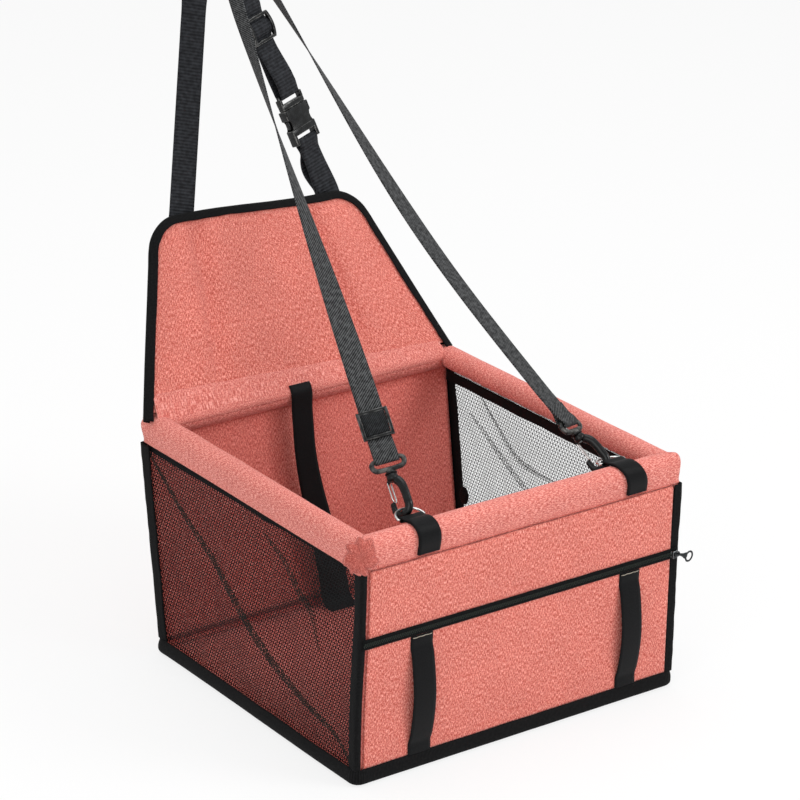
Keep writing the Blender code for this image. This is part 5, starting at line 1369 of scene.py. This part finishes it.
def on_backrest(u, v):
    """Once round the pad's section: its front face, then its back."""
    front = u < 0.5
    share = 2 * u if front else 2 - 2 * u
    if v > 0.85:
        v = 0.85 + 0.15 * math.sin((v - 0.85) / 0.15 * math.pi / 2)
    height = -PAD_BELOW + v * (BACKREST_HEIGHT + PAD_BELOW)
    half = backrest_half(max(height, 0))
    x = (2 * share - 1) * half
    from_edge = min(half - abs(x), BACKREST_HEIGHT - height)
    full = ease(from_edge, 0.0, 0.030) * (0.35 + 0.65 * ease(height, 0.0, 0.05))
    folds = 0.0022 * math.cos(3.0 * math.pi * x / FOOT_HALF) * full
    folds += 0.0016 * full * ripple(x, height * 0.4, 91, 0.045)
    for middle, size, depth in ((-0.076, 0.011, 0.0085), (0.064, 0.010, 0.0090)):
        off = (x - middle * (1 + 0.35 * (1 - height / BACKREST_HEIGHT))) / size
        folds += depth * full * math.exp(-off * off)
    thick = PAD / 2 * (0.55 + 0.60 * full)
    side = -1 if front else 1
    x, height = stretched(x, height)
    return backrest @ Vector((x, folds + side * thick, height))


bm = laid_grid(240, 80, on_backrest, 4 * FOOT_HALF, BACKREST_HEIGHT, joined=True)
bmesh.ops.holes_fill(bm, edges=bm.edges, sides=600)
backrest_pad = finished("backrest_pad", bm, CORAL, "backrest", ("backrest_panel",))

corner_low = BACKREST_HEIGHT - BACKREST_CORNER
heights = [-0.009, -0.004, 0.004, 0.010] + [0.02 + (corner_low - 0.02) * i / 8 for i in range(9)]
heights += [corner_low + BACKREST_CORNER * math.sin(math.pi / 2 * i / 6) for i in range(1, 7)]
edge = [(backrest_half(h), 0.0, h) for h in heights]
top_half = edge[-1][0]
across_top = [(top_half * s, 0.0, BACKREST_HEIGHT) for s in (0.97, 0.6, 0.2, -0.2, -0.6, -0.97)]
edge += across_top + [(-x, y, z) for x, y, z in reversed(edge)]
edge = [(*stretched(x, z), 0.0) for x, _, z in edge]
edge_route = Route([(x, 0.0, z) for x, z, _ in edge], dense=6)
tape_half = PAD / 2 + 0.0006
tape_side = [(-EDGE_TAPE, -tape_half, 0), (-EDGE_TAPE * 0.4, -tape_half, 0), (-0.0004, -tape_half * 0.8, 0)]
tape_profile = Route(tape_side + [(0.0012, 0, 0)] + [(x, -y, 0) for x, y, _ in reversed(tape_side)])


def on_edge_tape(u, v):
    x, _, z = edge_route.at(v)
    before, after = edge_route.at(v - 0.003), edge_route.at(v + 0.003)
    direction = Vector((after[0] - before[0], 0, after[2] - before[2])).normalized()
    out = Vector((direction.z, 0, -direction.x))
    reach, deep, _ = tape_profile.at(u)
    uneven = 1 + 0.08 * ripple(v * 0.8, 0.0 if u < 0.5 else 1.0, 95, 0.02)
    return backrest @ (Vector((x, deep, z)) + out * reach * uneven)


bm = laid_grid(16, 300, on_edge_tape, 0.026, edge_route.length)
finished("backrest_edge_tape", bm, TAPE, "backrest", ("backrest_binding",), 0.0010)


# Hinge cloth: the canvas runs on from the rear sleeve up the backrest's foot, inside and outside,
# and is sewn to it. It bends where the backrest folds.
hinge_faces = {
    "inside": ((176, 160, 140), -PAD / 2 - 0.0001, 0.0150, -0.0005),
    "outside": ((30, 45, 60), PAD / 2 + 0.0004, 0.0090, 0.0090),
}
for index, (name, (angles, deep, left_top, right_top)) in enumerate(hinge_faces.items()):
    reach = SLEEVE_RADIUS + 0.0004
    rim_y = HALF_DEPTH - SLEEVE_INSET
    rim_points = [
        (rim_y + reach * math.cos(math.radians(a)), RIM_AXIS + reach * math.sin(math.radians(a)))
        for a in angles
    ]
    towards = -1 if deep < 0 else 1

    def on_hinge(u, v):
        x = (2 * u - 1) * (FOOT_HALF - 0.0045 - 0.0105 * v)
        top = left_top + (right_top - left_top) * u
        rows = rim_points + [tuple((backrest @ Vector((0, deep, h))).yz) for h in (top - 0.004, top)]
        spot = v * (len(rows) - 1)
        first = min(int(spot), len(rows) - 2)
        y, z = Vector(rows[first]).lerp(Vector(rows[first + 1]), spot - first)
        puff = 0.0010 * math.sin(math.pi * v) * (1 + 0.6 * ripple(x, v * 0.01, 98 + index, 0.016))
        dart = 0.0016 * math.exp(-(((x + 0.166) / 0.0016) ** 2)) * math.sin(math.pi * v)
        x, _ = stretched(x, 0)
        return Vector((x, y + towards * (puff - dart), z))

    bm = laid_grid(220, 16, on_hinge, 2 * FOOT_HALF, 0.034)
    # The hinge cloth is in the rim's lighter canvas, with its painted light.
    hinge = finished(f"hinge_cloth_{name}", bm, CORAL_RIM_PAINTED_LIGHT, None, (), 0.0010)
    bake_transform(hinge)


# Rear strap: 30 mm black ribbed webbing sewn to the backrest's corners. Its right side has a
# slide and a side-release buckle, whose lower strap is sewn to the backrest.
RIBBED = woven_yarn("black_ribbed_webbing", "#17181B", "#303236", 0.62, 0.0036, depth=0.6, ribs=0.16)
REAR_WIDTH, REAR_X, REAR_SEWN, REAR_TURN = 0.030, (-0.092, 0.100), 0.030, 14.0
BUCKLE_AT, REAR_SLIDER_AT, SOCKET_FOOT, SOCKET_BODY, BUCKLE_BAR = 0.0620, 0.1950, 0.0120, 0.0290, 0.0040
PLUG_BASE, PLUG_SLOT, PLUG_BAR = 0.0065, 0.0065, 0.0045
behind_back = PAD / 2 + 0.0014 + 2 * SEAM_GAP + WEBBING / 2
sewn_top = BACKREST_HEIGHT + 0.0014 + 3 * SEAM_GAP
starts = [backrest @ Vector((x, behind_back, sewn_top)) for x in REAR_X]
sewn = [backrest @ Vector((x, behind_back, sewn_top - REAR_SEWN)) for x in REAR_X]
rear_plane = loop_plane(*starts, REAR_APEX)
rear_left = Strand(starts[0], REAR_APEX, rear_plane, lambda share: -90 * ease(share, 0.62, 0.97))
rear_right = Strand(
    starts[1], REAR_APEX, rear_plane,
    lambda share: REAR_TURN * ease(share, 0, 0.12) - (90 + REAR_TURN) * ease(share, 0.66, 0.97),
)
upright, sideways = backrest.to_3x3() @ Vector((0, 0, 1)), Vector((-1, 0, 0))
plug_at = BUCKLE_AT + SOCKET_FOOT + SOCKET_BODY
plug_bar_at = plug_at + PLUG_BASE + PLUG_SLOT + PLUG_BAR / 2
socket_bar_at = BUCKLE_AT + BUCKLE_BAR / 2
bend_share = 1 - APEX_BEND * 0.9 / rear_left.length
glide_low, glide_high = REAR_SLIDER_AT - GLIDE_LENGTH / 2, REAR_SLIDER_AT + GLIDE_LENGTH / 2
stations = [frame_of(sewn[0], sideways, upright), frame_of(starts[0], sideways, upright)]
stations += rear_left.run(0.012, rear_left.length * bend_share, 14)
stations += over_headrest(rear_left, rear_right, rear_plane, -rear_plane)
stations += rear_right.run(rear_right.length * bend_share, glide_high + 0.012, 8)
stations += reversed(rear_right.through_glide(REAR_SLIDER_AT))
stations += reversed(rear_right.round_bar(plug_bar_at, PLUG_BAR / 2))
stations += [rear_right.at(plug_bar_at + 0.008, behind), rear_right.at(glide_low - SEAM_GAP, behind)]
strap_piece("rear_webbing", stations, REAR_WIDTH, RIBBED, "backrest", ("rear_strap",), 700)
slide_frame("rear_slide", rear_right.at(REAR_SLIDER_AT), REAR_WIDTH, "rear_slider", "rear_slider")

under = backrest @ Matrix.Translation((0, lap, 0)) @ backrest.inverted()
loop_low, loop_high, slack = 0.0096, socket_bar_at - 0.012, 0.0075
stations = [frame_of(under @ spot, sideways, upright) for spot in (sewn[1], starts[1])]
for i in range(6):
    share = i / 5
    stations.append(
        rear_right.at(loop_low + (loop_high - loop_low) * share, -lap - slack * math.sin(math.pi * share))
    )
stations += rear_right.round_bar(socket_bar_at, BUCKLE_BAR / 2, 1)
stations += rear_right.run(loop_high, loop_low, 4)
stations += [frame_of(starts[1], sideways, upright), frame_of(sewn[1], sideways, upright)]
strap_piece(
    "rear_webbing_lower", stations, REAR_WIDTH, RIBBED, "backrest",
    ("rear_strap_lower",), 360,
)


# Side-release buckle: glossy black acetal. The socket has a wide foot with the webbing's slot and
# a waist where the two spring arms' buttons come through. The plug has a rounded end.
def moulded_plate(outline, deep, place, edge, sharper_than):
    """A plate in XZ from its outline, with its edges rounded where its faces turn enough."""
    part = bmesh.new()
    face = part.faces.new([part.verts.new((x, -deep, z)) for x, z in outline])
    out = bmesh.ops.extrude_face_region(part, geom=[face])
    moved = [v for v in out["geom"] if isinstance(v, bmesh.types.BMVert)]
    bmesh.ops.translate(part, vec=(0, 2 * deep, 0), verts=moved)
    bmesh.ops.recalc_face_normals(part, faces=part.faces)
    sharp = [e for e in part.edges if len(e.link_faces) == 2 and e.calc_face_angle() > sharper_than]
    bmesh.ops.bevel(
        part, geom=sharp, offset=edge, offset_type="OFFSET", segments=2, profile=0.5, affect="EDGES",
        material=-1,
    )
    bmesh.ops.transform(part, matrix=place, verts=part.verts)
    return part


def buckle_plate(bm, half_outline, deep, place, edge):
    """Adds a plate that is the same left and right, from half its outline."""
    outline = half_outline + [(-x, z) for x, z in reversed(half_outline)]
    into_bmesh(bm, moulded_plate(outline, deep, place, edge, 0.9))


BUCKLE_DEEP, SOCKET_SKIN, ARM_LOW, ARM_BAR = 0.0050, 0.0016, 0.0060, 0.0013
SLOT_HALF = REAR_WIDTH / 2 + SEAM_GAP
BUCKLE_HALF = SLOT_HALF + 0.0045
socket_place, plug_place = rear_right.at(BUCKLE_AT), rear_right.at(plug_at)
socket_top = SOCKET_FOOT + SOCKET_BODY - SEAM_GAP
window = (SOCKET_FOOT + 0.0060, SOCKET_FOOT + 0.0180)
bm = bmesh.new()
reach = (SLOT_HALF, BUCKLE_HALF)
paired_boxes(bm, reach, (-BUCKLE_DEEP, 0), (BUCKLE_DEEP, SOCKET_FOOT), socket_place, 0.0009)
far = SLOT_HALF + 0.001
moulded_box(bm, (-far, -0.0011, 0), (far, 0.0011, BUCKLE_BAR), socket_place, 0.0006)
corner = Vector((BUCKLE_HALF, BUCKLE_DEEP, window[0]))
moulded_box(bm, (-corner.x, -corner.y, SOCKET_FOOT - SOCKET_SKIN), corner, socket_place, 0.0008)
waist = [(BUCKLE_HALF - 0.0002, window[0] - 0.0006), (BUCKLE_HALF - 0.0026, window[0] + 0.0010)]
waist += [(BUCKLE_HALF - 0.0036, window[0] + 0.0040), (BUCKLE_HALF - 0.0036, window[1] - 0.0040)]
waist += [(BUCKLE_HALF - 0.0024, window[1] - 0.0012), (BUCKLE_HALF - 0.0002, window[1])]
waist += [(BUCKLE_HALF + 0.0002, socket_top - 0.0010), (BUCKLE_HALF - 0.0010, socket_top)]
for side in (-1, 1):
    deep = (BUCKLE_DEEP - SOCKET_SKIN / 2) * side
    buckle_plate(bm, waist, SOCKET_SKIN / 2, socket_place @ Matrix.Translation((0, deep, 0)), 0.0005)
reach = (BUCKLE_HALF - SOCKET_SKIN * 1.6, BUCKLE_HALF)
paired_boxes(bm, reach, (-BUCKLE_DEEP, window[1]), (BUCKLE_DEEP, socket_top), socket_place, 0.0005)
socket = finished("socket_shell", bm, BUCKLE_ACETAL, "backrest", ("buckle_socket",))
# The socket's box edges carry the painted highlight.
socket.data.materials.append(ACETAL_PAINTED_HIGHLIGHT)

plug_half, plug_deep, plug_top = BUCKLE_HALF - 0.0012, BUCKLE_DEEP - 0.0012, PLUG_BASE + PLUG_SLOT + PLUG_BAR
bm = bmesh.new()
moulded_box(bm, (-plug_half, -plug_deep, 0), (plug_half, plug_deep, PLUG_BASE), plug_place, 0.0012)
side_low, side_high = (-plug_deep, PLUG_BASE - 0.001), (plug_deep, PLUG_BASE + PLUG_SLOT)
paired_boxes(bm, (SLOT_HALF, plug_half), side_low, side_high, plug_place, 0.0007)
dome = [(plug_half, PLUG_BASE + PLUG_SLOT - 0.0006)]
dome += [
    (plug_half - 0.0070 + 0.0070 * math.cos(a), plug_top - 0.0045 + 0.0045 * math.sin(a))
    for a in [math.pi / 2 * i / 5 for i in range(6)]
]
buckle_plate(bm, dome, 0.0013, plug_place, 0.0006)
inner = BUCKLE_DEEP - SOCKET_SKIN - 4 * SEAM_GAP
moulded_box(bm, (-0.0040, -inner, ARM_LOW - SOCKET_BODY), (0.0040, inner, 0.0030), plug_place, 0.0006)
plug = finished("plug_body", bm, BUCKLE_ACETAL, "buckle_plug", ("buckle_plug",))
# The plug's box edges carry the painted highlight.
plug.data.materials.append(ACETAL_PAINTED_HIGHLIGHT)

arm_inner = BUCKLE_HALF - SOCKET_SKIN * 1.6 - SEAM_GAP
for side, name in SIDES:
    hinge_x = arm_inner - 2 * ARM_BAR * 2.1
    low_z = ARM_LOW - SOCKET_BODY + 2 * SEAM_GAP
    high_z = low_z + 0.0120 - 4 * SEAM_GAP
    press = [(hinge_x - ARM_BAR, -0.0004), (hinge_x + ARM_BAR, -0.0004)]
    press += [(arm_inner - 0.0010, high_z + 0.0012), (BUCKLE_HALF - 0.0022, high_z - 0.0004)]
    press += [(BUCKLE_HALF - 0.0006, (low_z + high_z) / 2)]
    press += [(BUCKLE_HALF - 0.0022, low_z), (arm_inner - 0.0030, -0.0225), (arm_inner - 0.0058, -0.0225)]
    press += [(hinge_x - ARM_BAR, high_z)]
    bm = moulded_plate([(side * x, z) for x, z in press], inner, plug_place, 0.0004, -math.pi)
    arm = f"buckle_arm_{name}"
    finished(f"spring_arm_{name}", bm, BUCKLE_ACETAL, arm, (arm,))


# Rim tubes and elbows, hidden in the sleeves: drawn aluminium tube and moulded grey corners. They
# keep their built shapes.
def as_built(node, material):
    """Gives a node that stays its material."""
    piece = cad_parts[node]
    piece.material_slots[0].material = material


TUBE_METAL = plated_wire("drawn_aluminium_tube", "#B0B1AF", "#C6C7C4", 0.38)
ELBOW_PLASTIC = acetal("grey_moulded_elbow", "#8E8F8D", "#B5B6B3", 0.45)
for side in RIM_SIDES:
    as_built(f"rim_tube_{side}", TUBE_METAL)
for corner in CORNERS:
    as_built(f"rim_elbow_{corner}", ELBOW_PLASTIC)
